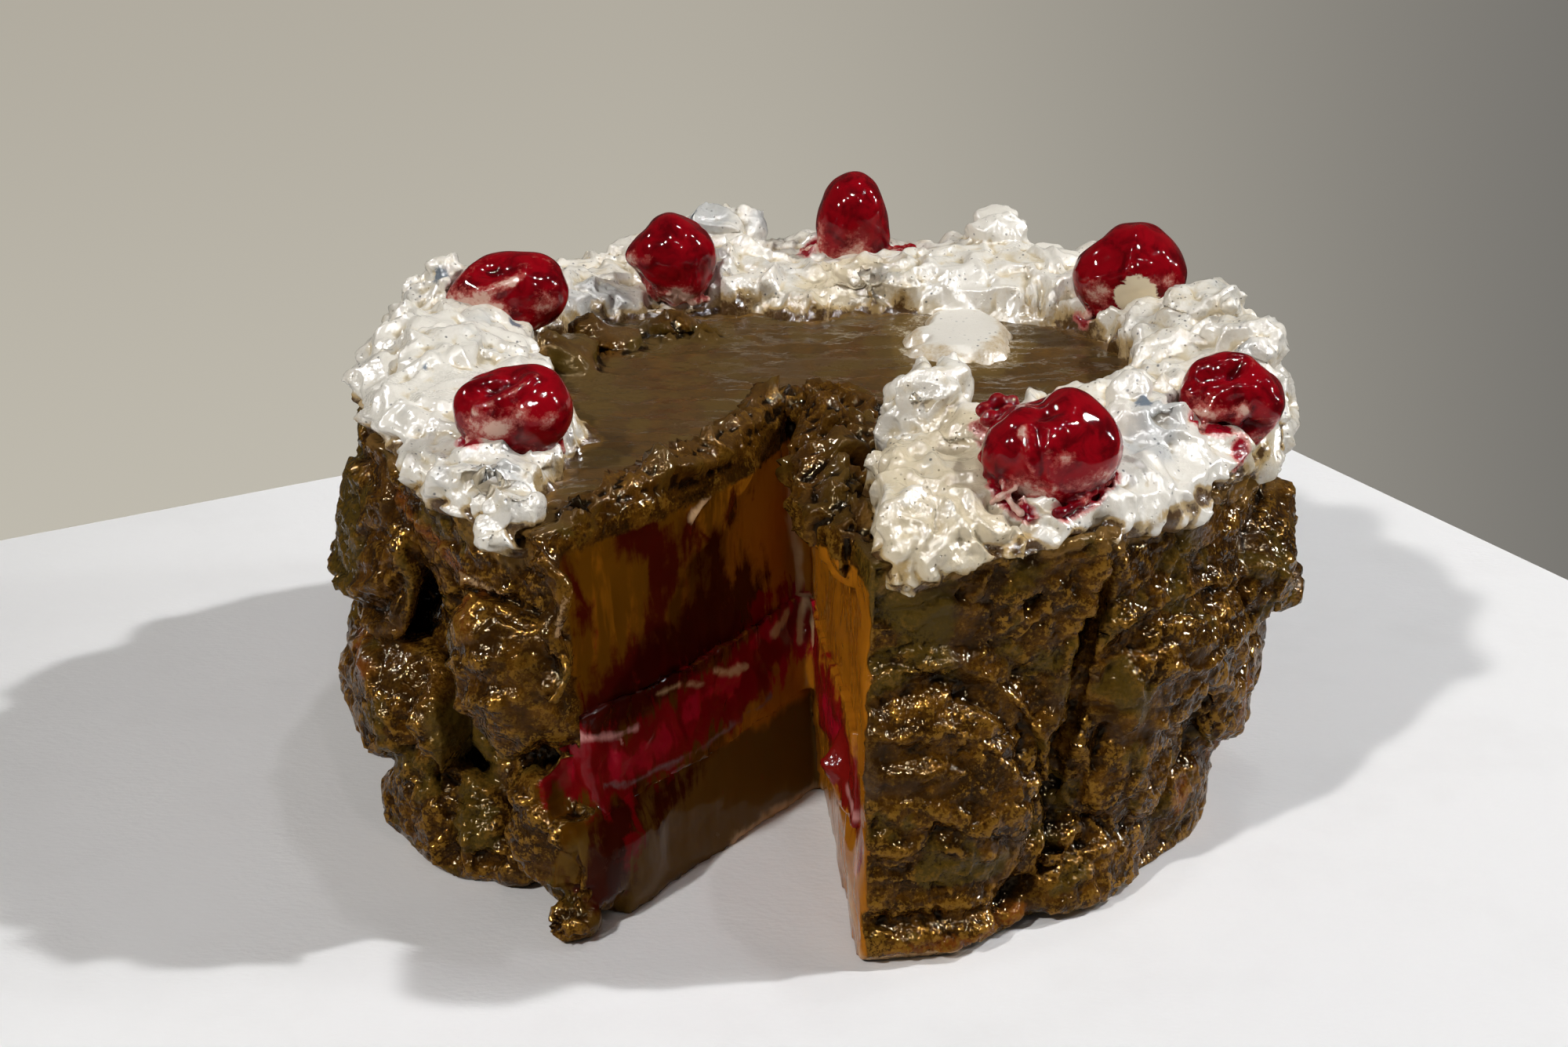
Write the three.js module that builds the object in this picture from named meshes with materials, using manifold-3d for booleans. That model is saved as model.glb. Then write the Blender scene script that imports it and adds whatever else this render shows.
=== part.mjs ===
// A glazed ceramic black forest cake, hand built and life size, with one wedge cut out of it: a clumped
// brown body, a cherry layer that shows on both cut walls, a smeared ring of cream and seven cherries.
// Millimetres, +Z up. The origin is the centre of the flat underside, and the wedge opens towards -Y.

import * as THREE from 'three';
import Module from 'manifold-3d';
import { mergeVertices } from 'three/addons/utils/BufferGeometryUtils.js';

const wasm = await Module();
wasm.setup();

// Driving dimensions
const HEIGHT = 80; // underside to the brown top
const TOP_RADIUS = 98.5; // brown body at the top rim
const BASE_RADIUS = 92; // brown body at the floor, before the clumps are pressed on
const GAP = 0.3; // between pieces that touch
const SEED = 20481;

const LAYER = { low: 25, high: 42, reach: 80, reachAtCut: 93 }; // cherry layer
// How far the cream stands off the rim and off the side, and how deep its back is sunk in
const CREAM = { shoulder: 1.6, drape: 2.6, tuck: 5 };

// The two cut walls, each as apex, middle and outer corner in plan, at the floor and at the top rim
const WALLS = {
  left: {
    foot: [[1, -32], [-20, -61], [-43, -90]],
    rim: [[-5.5, -16], [-24, -53], [-56, -89]],
    toGap: [0.775, -0.632],
  },
  right: {
    foot: [[2.5, -32], [5.5, -66], [8.5, -102]],
    rim: [[-3, -16], [3, -54], [9.4, -93]],
    toGap: [-0.99, -0.14],
  },
};
const WALL_LENGTH = 77; // apex to corner, along either wall
const WALL_STEPS = 10; // faces along and up a cut wall

const DEGREE = Math.PI / 180;
const clamp = THREE.MathUtils.clamp;
const lerp = THREE.MathUtils.lerp;
const smooth = THREE.MathUtils.smoothstep;

// ---------------------------------------------------------------- uneven surfaces

/** A repeatable number from -1 to 1 for one corner of the noise lattice. */
function latticeValue(i, j, k) {
  let h = Math.imul(i, 374761393) ^ Math.imul(j, 668265263) ^ Math.imul(k, 1440662683) ^ SEED;
  h = Math.imul(h ^ (h >>> 13), 1274126177);
  h = Math.imul(h ^ (h >>> 15), 739982445);
  return ((h ^ (h >>> 16)) >>> 0) / 2147483648 - 1;
}

/** Smooth noise from -1 to 1, with hills about `size` millimetres across. */
function noise(x, y, z, size) {
  const cell = [x, y, z].map((v) => Math.floor(v / size));
  const part = [x, y, z].map((v, axis) => smooth(v / size - cell[axis], 0, 1));
  let sum = 0;
  for (let corner = 0; corner < 8; corner++) {
    const step = [corner & 1, (corner >> 1) & 1, corner >> 2];
    const weight = step.reduce((w, s, axis) => w * (s ? part[axis] : 1 - part[axis]), 1);
    sum += weight * latticeValue(cell[0] + step[0], cell[1] + step[1], cell[2] + step[2]);
  }
  return sum;
}

/** A round bump: 1 at distance 0, falling to 0 at distance 1. */
function bump(distance) {
  return distance < 1 ? (1 - distance * distance) ** 2 : 0;
}

/** Reads a list of [position, value] stops at a position, with smooth steps between them. */
function along(stops, position) {
  const next = stops.findIndex(([at]) => at >= position);
  if (next === 0) return stops[0][1];
  if (next < 0) return stops[stops.length - 1][1];
  const [a, from] = stops[next - 1];
  const [b, to] = stops[next];
  return lerp(from, to, smooth(position, a, b));
}

/** An angle in degrees, brought into the turn that starts at `start`. */
function turn(angle, start) {
  return ((((angle - start) % 360) + 360) % 360) + start;
}

// ---------------------------------------------------------------- solids from geometry

/** Turns a closed three.js geometry into a solid for joining and cutting. */
function toSolid(geometry) {
  const bare = new THREE.BufferGeometry();
  bare.setAttribute('position', geometry.getAttribute('position').clone());
  if (geometry.index) bare.setIndex(geometry.index.clone());
  const merged = mergeVertices(bare, 1e-3);
  const corners = merged.index.array;
  const triangles = [];
  for (let i = 0; i < corners.length; i += 3) {
    const [a, b, c] = [corners[i], corners[i + 1], corners[i + 2]];
    if (a !== b && b !== c && c !== a) triangles.push(a, b, c);
  }
  const vertProperties = new Float32Array(merged.getAttribute('position').array);
  const make = (list) => {
    const mesh = new wasm.Mesh({ numProp: 3, vertProperties, triVerts: new Uint32Array(list) });
    return new wasm.Manifold(mesh);
  };
  const solid = make(triangles);
  return solid.volume() > 0 ? solid : make([...triangles].reverse());
}

/** The largest connected body of a solid, without loose scraps and sealed hollows. */
function mainBody(solid) {
  return solid.decompose().reduce((best, piece) => (piece.volume() > best.volume() ? piece : best));
}

/** Joins a list of solids. */
function join(solids) {
  return solids.reduce((whole, piece) => whole.add(piece));
}

/** Moves every vertex of a geometry by a function of its place and its index. */
function reshape(geometry, move) {
  const position = geometry.getAttribute('position');
  const point = new THREE.Vector3();
  for (let i = 0; i < position.count; i++) {
    point.fromBufferAttribute(position, i);
    move(point, i);
    position.setXYZ(i, point.x, point.y, point.z);
  }
  return geometry;
}

/** A polar place on the cake, in millimetres. */
function polar(angle, radius, z) {
  return new THREE.Vector3(radius * Math.cos(angle * DEGREE), radius * Math.sin(angle * DEGREE), z);
}

/**
 * A pressed clump of clay: a squarish ellipsoid with an uneven skin. `size` holds its half sizes,
 * `turned` its turns about X, Y and Z in degrees, and `at` its centre.
 */
function clump({ at, size, turned = [0, 0, 0], detail = 2, rough = 0.2, square = 2.5 }, grow = 0) {
  const geometry = reshape(new THREE.IcosahedronGeometry(1, detail), (p) => {
    const sum = p.toArray().reduce((total, v) => total + Math.abs(v) ** square, 0);
    const uneven = 1 + rough * noise(p.x + at[0], p.y + at[1], p.z + at[2], 0.8);
    p.multiplyScalar(uneven / sum ** (1 / square));
    p.set(p.x * (size[0] + grow), p.y * (size[1] + grow), p.z * (size[2] + grow));
  });
  const euler = new THREE.Euler(...turned.map((degrees) => degrees * DEGREE), 'ZYX');
  geometry.applyMatrix4(new THREE.Matrix4().makeRotationFromEuler(euler));
  geometry.translate(...at);
  return toSolid(geometry);
}

/**
 * A clump on the side of the cake. Its half sizes are given along the side, outwards and upwards;
 * `roll` turns it in the face of the side, and `lean` tips its foot outwards.
 */
function sideClump({ angle, z, radius, size, roll = 0, lean = 0, ...rest }, grow = 0) {
  const centre = polar(angle, radius, z);
  return clump({ at: centre.toArray(), size, turned: [lean, roll, angle - 90], ...rest }, grow);
}

/** A clay string: a rounded section swept along a smooth curve through the points. */
function string({ through, width, steps = 12, rough = 0.3 }, grow = 0) {
  const curve = new THREE.CatmullRomCurve3(through.map((point) => new THREE.Vector3(...point)));
  const section = new THREE.Shape();
  section.absarc(0, 0, width / 2 + grow, 0, 2 * Math.PI);
  const options = { extrudePath: curve, steps, curveSegments: 3, bevelEnabled: false };
  const geometry = reshape(new THREE.ExtrudeGeometry(section, options), (p) => {
    const shift = rough * width;
    p.x += shift * noise(p.x, p.y, p.z, 7);
    p.y += shift * noise(p.x + 50, p.y, p.z, 7);
    p.z += shift * noise(p.x, p.y + 50, p.z, 7);
  });
  return toSolid(geometry);
}

// ---------------------------------------------------------------- brown body

const CORE_ROWS = 8; // faces up the side
const CORE_COLUMNS = 64; // faces round the side
const CORE_RINGS = [0.96, 0.78, 0.52, 0]; // rings of the top, as shares of its radius

// Angles run anticlockwise from +X, so -90 is the middle of the open side. Left of the wedge:
const LEFT_CLUMPS = [
  { // leaning plate
    angle: -158, z: 58, radius: 95.3, size: [21, 5, 15], lean: 13, roll: -13, rough: 0.08, square: 3.5,
  },
  { angle: -154, z: 27, radius: 90.5, size: [28, 13, 15], roll: 5 },
  { angle: -143, z: 9, radius: 89, size: [19, 12, 14], roll: -8 },
  { angle: -126, z: 48, radius: 92, size: [15, 12, 17], roll: 8 }, // folded roll
  { angle: -119.5, z: 18, radius: 91, size: [13, 11, 19], roll: -6 }, // foot of the corner
  { angle: -131, z: 5, radius: 89, size: [8, 8, 6], detail: 1 },
  { angle: -136, z: 70, radius: 90, size: [20, 7, 8], roll: -12, detail: 1 },
];
// Right of the wedge:
const RIGHT_CLUMPS = [
  { angle: -80, z: 28, radius: 92.5, size: [27, 9.5, 30], roll: -12 }, // slab with a curved lip
  { angle: -80, z: 5, radius: 91.5, size: [25, 11, 8], roll: -3, detail: 1 }, // its spreading foot
  { angle: -57, z: 8, radius: 89, size: [19, 9, 10], roll: -10, detail: 1 },
  { angle: -43, z: 46, radius: 91, size: [23, 12, 14], roll: -3 }, // slab over the crevice
  { angle: -49, z: 31, radius: 90, size: [13, 9.5, 18], roll: -16 },
  { angle: -17, z: 54, radius: 94, size: [24, 11.5, 14], roll: 5 },
  { angle: -11, z: 43, radius: 98.5, size: [11, 8, 6], roll: -8, detail: 1 },
  { angle: -20, z: 31, radius: 90, size: [28, 9, 16], detail: 1 },
  { angle: -34, z: 14, radius: 85, size: [18, 9.5, 15], roll: 8, detail: 1 },
];
const BACK_CLUMPS = 8; // slabs pressed on round the back, by rule
const BACK_START = 12;
const BACK_END = 186;
const CREVICE = { angle: -59, z: 45, radius: 102, size: [3.4, 11, 29], roll: -8, rough: 0.3 };
// How far the rim of the core, and its side under the clumps, lie back, as angle and millimetres
const RIM_INSET = [[-180, 3.5], [-150, 3.5], [-126, 0], [140, 0], [180, 3.5]];
const CORE_INSET = [
  [-180, 2], [-170, 6], [-135, 6], [-120, 2], [-30, 1], [-20, 4], [10, 4], [30, 3], [180, 3],
];

/** The slabs round the back: two uneven courses, one above the other. */
function backClumps() {
  return Array.from({ length: BACK_CLUMPS }, (_, i) => {
    const share = (i + 0.5) / BACK_CLUMPS;
    const vary = (salt, spread) => spread * latticeValue(i, salt, 7);
    const upper = i % 2 === 0;
    return {
      angle: lerp(BACK_START, BACK_END, share) + vary(1, 4),
      z: (upper ? 51 : 24) + vary(2, 5),
      radius: (upper ? 93 : 89) + vary(3, 1.5),
      size: [29 + vary(4, 4), 9.5 + vary(5, 1.5), 19 + vary(6, 3)],
      roll: vary(8, 14),
      detail: 1,
      rough: 0.45,
      square: 2.1,
    };
  });
}

const SIDE_CLUMPS = [...LEFT_CLUMPS, ...RIGHT_CLUMPS, ...backClumps()];

/** Radius of the bare core at an angle and a height. */
function coreRadius(angle, z) {
  const plain = lerp(BASE_RADIUS, TOP_RADIUS, smooth(z, -20, 70));
  const place = polar(angle, plain, z);
  const round = turn(angle, -180);
  const inset = lerp(along(CORE_INSET, round), along(RIM_INSET, round), smooth(z, 60, 76));
  return plain - inset + 1.6 * noise(place.x, place.y, z, 16) + noise(place.x, place.y, z, 8);
}

/** Height of the brown top at a place in plan. */
function topHeight(x, y) {
  return HEIGHT + 0.6 * noise(x, y, 0, 22) + 0.4 * noise(x, y, 30, 11);
}

/** The round core under the clumps. */
function coreSolid(grow) {
  const profile = [new THREE.Vector2(0, 0)];
  for (let row = 0; row <= CORE_ROWS; row++) profile.push(new THREE.Vector2(1, (row / CORE_ROWS) * HEIGHT));
  CORE_RINGS.forEach((share) => profile.push(new THREE.Vector2(share, HEIGHT)));
  const geometry = new THREE.LatheGeometry(profile, CORE_COLUMNS).rotateX(Math.PI / 2);
  reshape(geometry, (p) => {
    const share = Math.hypot(p.x, p.y);
    const angle = Math.atan2(p.y, p.x) / DEGREE;
    const radius = share * (coreRadius(angle, p.z) + grow);
    const isTop = p.z > HEIGHT - 1e-6;
    p.copy(polar(angle, radius, p.z));
    if (isTop) p.z = topHeight(p.x, p.y) + grow;
  });
  return toSolid(geometry);
}

/** A place on a cut wall: `along` runs from 0 at the apex to 1 at the corner. */
function wallPlace(side, share, z) {
  const bend = (points) => [0, 1].map((axis) => {
    const [a, b, c] = points.map((point) => point[axis]);
    return a * (1 - share) * (1 - 2 * share) + 4 * b * share * (1 - share) + c * share * (2 * share - 1);
  });
  const rise = clamp(z / HEIGHT, 0, 1);
  const foot = bend(WALLS[side].foot);
  const rim = bend(WALLS[side].rim);
  return new THREE.Vector3(lerp(foot[0], rim[0], rise), lerp(foot[1], rim[1], rise), z);
}

// Swells of the cut walls, as wall, distance from the apex, height, half sizes and how far they stand out
const WALL_SWELLS = [
  { side: 'left', from: 73, z: 64, half: [8, 17], out: 3.2 }, // shell-like edge of the corner
  { side: 'left', from: 70, z: 12, half: [16, 20], out: 5 }, // foot of the corner
  { side: 'left', from: 26, z: 77, half: [24, 10], out: 2.4 }, // under the rim
  { side: 'left', from: 56, z: 58, half: [6, 5], out: -3.5 }, // pit
  { side: 'left', from: 44, z: 21, half: [32, 5], out: 2.2 }, // ledge under the cherry layer
  { side: 'left', from: 20, z: 12, half: [18, 12], out: -1.5 },
  { side: 'right', from: 62, z: 12, half: [14, 9], out: 2 },
  { side: 'right', from: 40, z: 60, half: [30, 16], out: -1.2 },
];

/** How far a cut wall stands out into the gap. */
function wallRelief(side, share, z) {
  const from = share * WALL_LENGTH;
  const place = wallPlace(side, share, z);
  const swells = WALL_SWELLS.filter((swell) => swell.side === side);
  const swollen = swells.reduce((sum, { from: at, z: height, half, out }) => {
    return sum + out * bump(Math.hypot((from - at) / half[0], (z - height) / half[1]));
  }, 0);
  return swollen + 0.9 * noise(place.x, place.y, place.z, 11) + 0.5 * noise(place.x, place.y, place.z, 6);
}

/** The solid that cuts the wedge. `narrow` moves both of its walls into the gap. */
function wedgeCutter(narrow, relief = wallRelief) {
  const [low, high, reach] = [-8, HEIGHT + 30, 1.35];
  const geometry = reshape(new THREE.BoxGeometry(1, 1, 1, WALL_STEPS, 1, WALL_STEPS), (p) => {
    const side = p.y < 0 ? 'left' : 'right';
    const share = (p.x + 0.5) * reach;
    const z = lerp(low, high, p.z + 0.5);
    const out = (relief ? relief(side, share, z) : 0) + narrow;
    p.copy(wallPlace(side, share, z));
    p.x += out * WALLS[side].toGap[0];
    p.y += out * WALLS[side].toGap[1];
  });
  return toSolid(geometry);
}

// Clumps that lie over the cut edges, the largest of them on the rim of the right wall
const EDGE_CLUMPS = [
  { at: [4, -16, 80.5], size: [9, 10, 4], rough: 0.3 },
  { at: [2.5, -34, 80], size: [8, 12, 5.5], rough: 0.3 },
  { at: [2, -50, 78.5], size: [7, 11, 7.5], turned: [0, -12, 8], rough: 0.3 },
  { at: [3.5, -64, 76.5], size: [7.5, 10, 8], turned: [0, -18, 8], rough: 0.3 },
  { at: [6, -77, 75], size: [5.5, 8, 7.5], turned: [10, -18, 8], rough: 0.3 },
  { at: [11, -40, 83], size: [5, 8, 3], rough: 0.3 },
  { at: [-54, 15, 82], size: [7, 9, 4], rough: 0.3 }, // crumbs beside the cream
  { at: [-45, 29, 81.5], size: [7, 6, 3.6], rough: 0.3 },
  { at: [-31, 40, 81], size: [7, 5, 3], rough: 0.3 },
  { at: [-60.5, -63, 3.5], size: [4.5, 4.5, 4] }, // crumbs at the foot
  { at: [-46, -90, 3], size: [5.5, 5, 4] },
  { at: [-41, -81, 11], size: [5, 4, 5.5] },
];
const EDGE_STRINGS = [
  { // torn rim of the left wall
    through: [
      [-43, -73, 81], [-33, -61, 82], [-25, -54, 82], [-19, -45, 81.5], [-14, -31, 82], [-7, -17, 81.5],
    ],
    width: 5.4,
    steps: 15,
  },
  { // curled edge of the left corner
    through: [[-50.5, -86, 76], [-46.5, -88, 70], [-49, -88, 63], [-46.5, -88, 56], [-48.5, -89, 50]],
    width: 4.2,
  },
];

/** The body before the cherry layer's slot is cut. */
function clayBody(grow) {
  const clumps = SIDE_CLUMPS.map((item) => sideClump(item, grow));
  const edges = [
    ...EDGE_CLUMPS.map((item) => clump({ detail: 1, ...item }, grow)),
    ...EDGE_STRINGS.map((item) => string(item, grow)),
  ];
  const round = join([coreSolid(grow), ...clumps]).subtract(sideClump(CREVICE, -grow));
  const floor = toSolid(new THREE.BoxGeometry(300, 300, 60).translate(0, 0, -30));
  return join([round.subtract(wedgeCutter(grow)), ...edges]).subtract(floor);
}

// ---------------------------------------------------------------- cherry layer

const LAYER_COLUMNS = 40;
const FLAP = { share: 0.74, z: 31, half: [6, 9.5, 10.5] }; // faceted flap on the right wall
const DAB = { share: 0.97, z: 30, half: [6, 4.5, 7] }; // blob at the left corner

/** The layer as a whole disc. It reaches further out beside the cut than it does inside the body. */
function layerDisc(grow) {
  const profile = [[0, LAYER.low], [1, LAYER.low], [1, LAYER.high], [0, LAYER.high]];
  const points = profile.map(([share, z]) => new THREE.Vector2(share, z));
  const geometry = new THREE.LatheGeometry(points, LAYER_COLUMNS).rotateX(Math.PI / 2);
  reshape(geometry, (p) => {
    const share = Math.hypot(p.x, p.y);
    const angle = turn(Math.atan2(p.y, p.x) / DEGREE, -180);
    const besideCut = bump(Math.abs(angle + 102) / 38);
    const radius = share * (lerp(LAYER.reach, LAYER.reachAtCut, Math.min(1, 2 * besideCut)) + grow);
    const lid = p.z > (LAYER.low + LAYER.high) / 2 ? 1 : -1;
    p.copy(polar(angle, radius, p.z));
    p.z += 1.5 * noise(p.x, p.y, p.z, 13) + lid * grow;
  });
  return toSolid(geometry);
}

/** The flap and the blob of the layer that stand out of the cut walls. */
function layerBlobs(grow) {
  const flapAt = wallPlace('right', FLAP.share, FLAP.z);
  const dabAt = wallPlace('left', DAB.share, DAB.z);
  const flap = new THREE.OctahedronGeometry(1);
  flap.scale(...FLAP.half.map((half) => half + 2 * grow));
  flap.rotateZ(8 * DEGREE).translate(...flapAt.toArray());
  const dab = { at: dabAt.toArray(), size: DAB.half, turned: [0, 0, 50], detail: 1 };
  return join([toSolid(flap), clump(dab, grow)]);
}

/** The layer as it shows: trimmed a little proud of both walls. */
function cherryLayer() {
  const proud = 1.4;
  return layerDisc(0).subtract(wedgeCutter(proud)).add(layerBlobs(0));
}

// ---------------------------------------------------------------- cherries

// Centre, half sizes and dents, each dent as direction, depth and spread
const CHERRIES = {
  cherry_front_left: {
    at: [-57.8, -52, 92.8],
    size: [11, 9.5, 8.3],
    dents: [[[-0.3, -0.1, 1], 3.2, 0.45], [[0.2, 0.3, 1], 2, 0.4], [[-0.9, -0.4, 0.1], 1.2, 0.4]],
  },
  cherry_back_left: {
    at: [-66.8, 26, 93.4],
    size: [13.4, 10.5, 8.3],
    dents: [[[-0.2, -0.5, 1], 1.8, 0.5], [[0.5, -1, 0.1], 1.2, 0.4]],
  },
  cherry_left_of_back: {
    at: [-32, 56, 92.8],
    size: [10.6, 10.4, 10.4],
    dents: [[[0.5, -0.4, 1], 1.6, 0.45], [[-1, -0.3, -0.2], 1.4, 0.5]],
  },
  cherry_back: {
    at: [11, 84, 95],
    size: [9.2, 9.4, 11.2],
    dents: [[[0.6, -0.8, -0.3], 1.4, 0.4], [[-0.7, -0.6, -0.5], 1.2, 0.4]],
  },
  cherry_back_right: {
    at: [72.3, 41, 93.2],
    size: [13, 11.5, 11.6],
    dents: [[[-0.3, -0.6, 1], 2.2, 0.5], [[0.1, -1, -0.2], 1.2, 0.4], [[-1, -0.2, 0.4], 1.2, 0.4]],
  },
  cherry_right: {
    at: [82, -41, 91.4],
    size: [10.6, 9.8, 9.4],
    dents: [[[0.4, -0.4, 1], 2.4, 0.4], [[-0.3, -0.9, 0.3], 2, 0.35], [[0.6, -0.9, -0.3], 1.6, 0.35]],
  },
  cherry_front_right: {
    at: [43.3, -75, 93],
    size: [12.6, 11.6, 11.3],
    dents: [[[-0.25, -0.3, 1], 3.6, 0.42], [[-0.4, -0.9, 0.3], 2.6, 0.3], [[-0.3, -0.9, -0.5], 2, 0.3]],
  },
};
const SMALL_DAB = { at: [34.5, -63, 97.5], size: [5, 4.6, 4.6], detail: 1, rough: 0.3 };

/** One dented cherry. */
function cherry({ at, size, dents }, grow = 0) {
  const presses = dents.map(([aim, depth, spread]) => [new THREE.Vector3(...aim).normalize(), depth, spread]);
  const geometry = reshape(new THREE.IcosahedronGeometry(1, 2), (p) => {
    const pressed = presses.reduce((sum, [aim, depth, spread]) => {
      return sum + depth * Math.exp(-((p.angleTo(aim) / spread) ** 2));
    }, 0);
    const uneven = 0.5 * noise(p.x * 10 + at[0], p.y * 10 + at[1], p.z * 10 + at[2], 9);
    const share = 1 + (uneven - pressed) / Math.max(...size);
    p.set(p.x * (size[0] * share + grow), p.y * (size[1] * share + grow), p.z * (size[2] * share + grow));
  });
  return toSolid(geometry.translate(...at));
}

/** All the cherries by name, the largest with the small red dab that touches it. */
function cherrySolids(grow = 0) {
  const named = Object.entries(CHERRIES).map(([name, shape]) => [name, cherry(shape, grow)]);
  const solids = Object.fromEntries(named);
  solids.cherry_front_right = solids.cherry_front_right.add(clump(SMALL_DAB, grow));
  return solids;
}

// ---------------------------------------------------------------- cream

const CREAM_COLUMNS = 62;
// Inner edge of the ring on the brown top, as angle and radius, anticlockwise from the right corner
const CREAM_INNER = [
  [-92, 97], [-86, 93], [-82, 76], [-78, 61], [-72, 51], [-62, 45], [-45, 45], [-30, 49], [-15, 60], [0, 67],
  [15, 71], [30, 72], [45, 66], [58, 58], [75, 53], [90, 46], [104, 54], [120, 57], [135, 64], [155, 66],
  [172, 57], [190, 53], [208, 53], [218, 56], [226, 67], [232, 83], [236, 93], [244, 97],
];
// Lowest edge of the cream on the side, as angle and height
const CREAM_HEM = [
  [-92, 76], [-84, 74], [-80, 69], [-77, 77], [-70, 78.5], [-62, 79], [-56, 77.5], [-48, 76], [-42, 73],
  [-38, 77], [-28, 73], [-18, 68], [-8, 67], [2, 70], [14, 73], [26, 70], [40, 74], [55, 69], [70, 73],
  [88, 70], [104, 74], [122, 70], [140, 73], [158, 76], [172, 79], [184, 80], [196, 82], [206, 81],
  [214, 79.5], [222, 77], [229, 74.5], [236, 74], [244, 75],
];
// Thickness over the brown top, as angle and millimetres
const CREAM_DEPTH = [
  [-92, 8], [-80, 10], [-60, 12], [-45, 9], [-35, 11], [-20, 10], [-5, 13], [10, 14], [22, 12], [35, 9],
  [50, 11], [66, 12], [80, 9], [95, 8], [108, 12], [125, 8], [140, 9], [160, 12], [175, 12], [190, 11],
  [210, 10], [225, 9], [244, 6],
];
// The ring's section, each point as share of the width and share of the thickness
const CREAM_SECTION = [[0, 0.15], [0.08, 0.65], [0.3, 0.96], [0.58, 1], [0.84, 0.88], [0.97, 0.5]];

const CREAM_CLUMPS = [
  { at: [34, 33, 80.6], size: [13.5, 25, 2.8], turned: [0, 0, -10], rough: 0.1 }, // flat smear on the top
  { at: [22, -47, 89], size: [8.5, 10, 9.5], turned: [-12, 0, 0] }, // scooped lump
  { at: [25.5, -43, 97], size: [2.8, 2.8, 5], turned: [-20, 25, 0], detail: 0 }, // its curl
  { at: [34, -58, 89], size: [10, 10, 7] },
  { at: [20, -71, 85], size: [10, 12, 6] },
  { at: [64, -52, 88.5], size: [10, 9, 7], turned: [0, 0, 30] },
  { at: [61, -48, 94.5], size: [4.5, 4, 4] },
  { at: [91, -9, 91.5], size: [8, 10, 5.5] },
  { at: [85, 13, 93], size: [8, 9, 5.5] },
  { at: [89, 5, 97], size: [3, 3, 3], detail: 0 },
  { at: [45, 78, 90.5], size: [8, 7, 6.5] },
  { at: [-22, 84, 89.5], size: [10, 8, 6.5] },
  { at: [-80, 32, 91], size: [9, 10, 5.5] },
  { at: [-81, 30, 96], size: [3.6, 3.2, 3], detail: 0 },
  { at: [-78, -12, 88], size: [9, 19, 6.5] },
  { at: [-57, -82, 78], size: [6, 6, 5] }, // drooping tip at the left corner
];

/** The ring of cream as a closed band, before it is fitted to what it lies on. */
function creamBand() {
  const count = CREAM_SECTION.length + 4;
  const placeholder = Array.from({ length: count + 1 }, (_, i) => {
    const step = (2 * Math.PI * i) / count;
    return new THREE.Vector2(50 + Math.cos(step), Math.sin(step));
  });
  placeholder[count].copy(placeholder[0]);
  const geometry = new THREE.LatheGeometry(placeholder, CREAM_COLUMNS).rotateX(Math.PI / 2);
  reshape(geometry, (p, i) => {
    const angle = turn(Math.atan2(p.y, p.x) / DEGREE, -104);
    const inner = along(CREAM_INNER, angle);
    const hem = along(CREAM_HEM, angle);
    const width = coreRadius(angle, HEIGHT) + CREAM.shoulder - inner;
    const point = (i % (count + 1)) % count; // the last point of the closed profile is the first
    const swirl = noise(p.x * 2, p.y * 2, point * 9, 19);
    const section = [
      ...CREAM_SECTION.map(([out, up]) => [
        inner + out * width + 1.6 * swirl,
        HEIGHT + up * (along(CREAM_DEPTH, angle) + 3 * swirl),
      ]),
      [coreRadius(angle, lerp(hem, HEIGHT, 0.5)) + CREAM.drape + 0.8 * swirl, lerp(hem, HEIGHT, 0.45)],
      [coreRadius(angle, hem) + CREAM.drape * 0.8, hem],
      [coreRadius(angle, hem) - CREAM.tuck, hem + 1],
      [inner + 1, HEIGHT - 3],
    ];
    p.copy(polar(angle, ...section[point]));
  });
  return toSolid(geometry);
}

/** The cream as it shows, clear of the body, the cherries and the wedge. */
function creamRing(cherries) {
  const heap = join([creamBand(), ...CREAM_CLUMPS.map((item) => clump({ rough: 0.25, detail: 1, ...item }))]);
  const gap = wedgeCutter(-3.5, null);
  return cherries.reduce((rest, item) => rest.subtract(item), heap.subtract(gap).subtract(clayBody(GAP)));
}

// ---------------------------------------------------------------- the cake

const FINISHES = {
  body: { color: 0x3d2614, roughness: 0.32 },
  layer: { color: 0x8a0f1c, roughness: 0.18 },
  cream: { color: 0xdcd6c8, roughness: 0.4 },
  cherry: { color: 0x9c0c1c, roughness: 0.15 },
};

/** Wraps a solid as a named mesh. */
function toMesh(name, solid, finish) {
  const { numProp, vertProperties, triVerts } = mainBody(solid).getMesh();
  const geometry = new THREE.BufferGeometry();
  geometry.setAttribute('position', new THREE.BufferAttribute(vertProperties, numProp));
  geometry.setIndex(new THREE.BufferAttribute(triVerts, 1));
  geometry.computeVertexNormals();
  const mesh = new THREE.Mesh(geometry, new THREE.MeshStandardMaterial({ metalness: 0, ...finish }));
  mesh.name = name;
  return mesh;
}

/** Builds the whole cake. */
function buildCake() {
  const cake = new THREE.Group();
  const slot = layerDisc(GAP).add(layerBlobs(GAP));
  cake.add(toMesh('cake_body', clayBody(0).subtract(slot), FINISHES.body));
  cake.add(toMesh('cherry_layer', cherryLayer(), FINISHES.layer));
  cake.add(toMesh('cream_ring', creamRing(Object.values(cherrySolids(GAP))), FINISHES.cream));
  for (const [name, solid] of Object.entries(cherrySolids())) {
    cake.add(toMesh(name, solid, FINISHES.cherry));
  }
  return cake;
}

export default buildCake();
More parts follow.
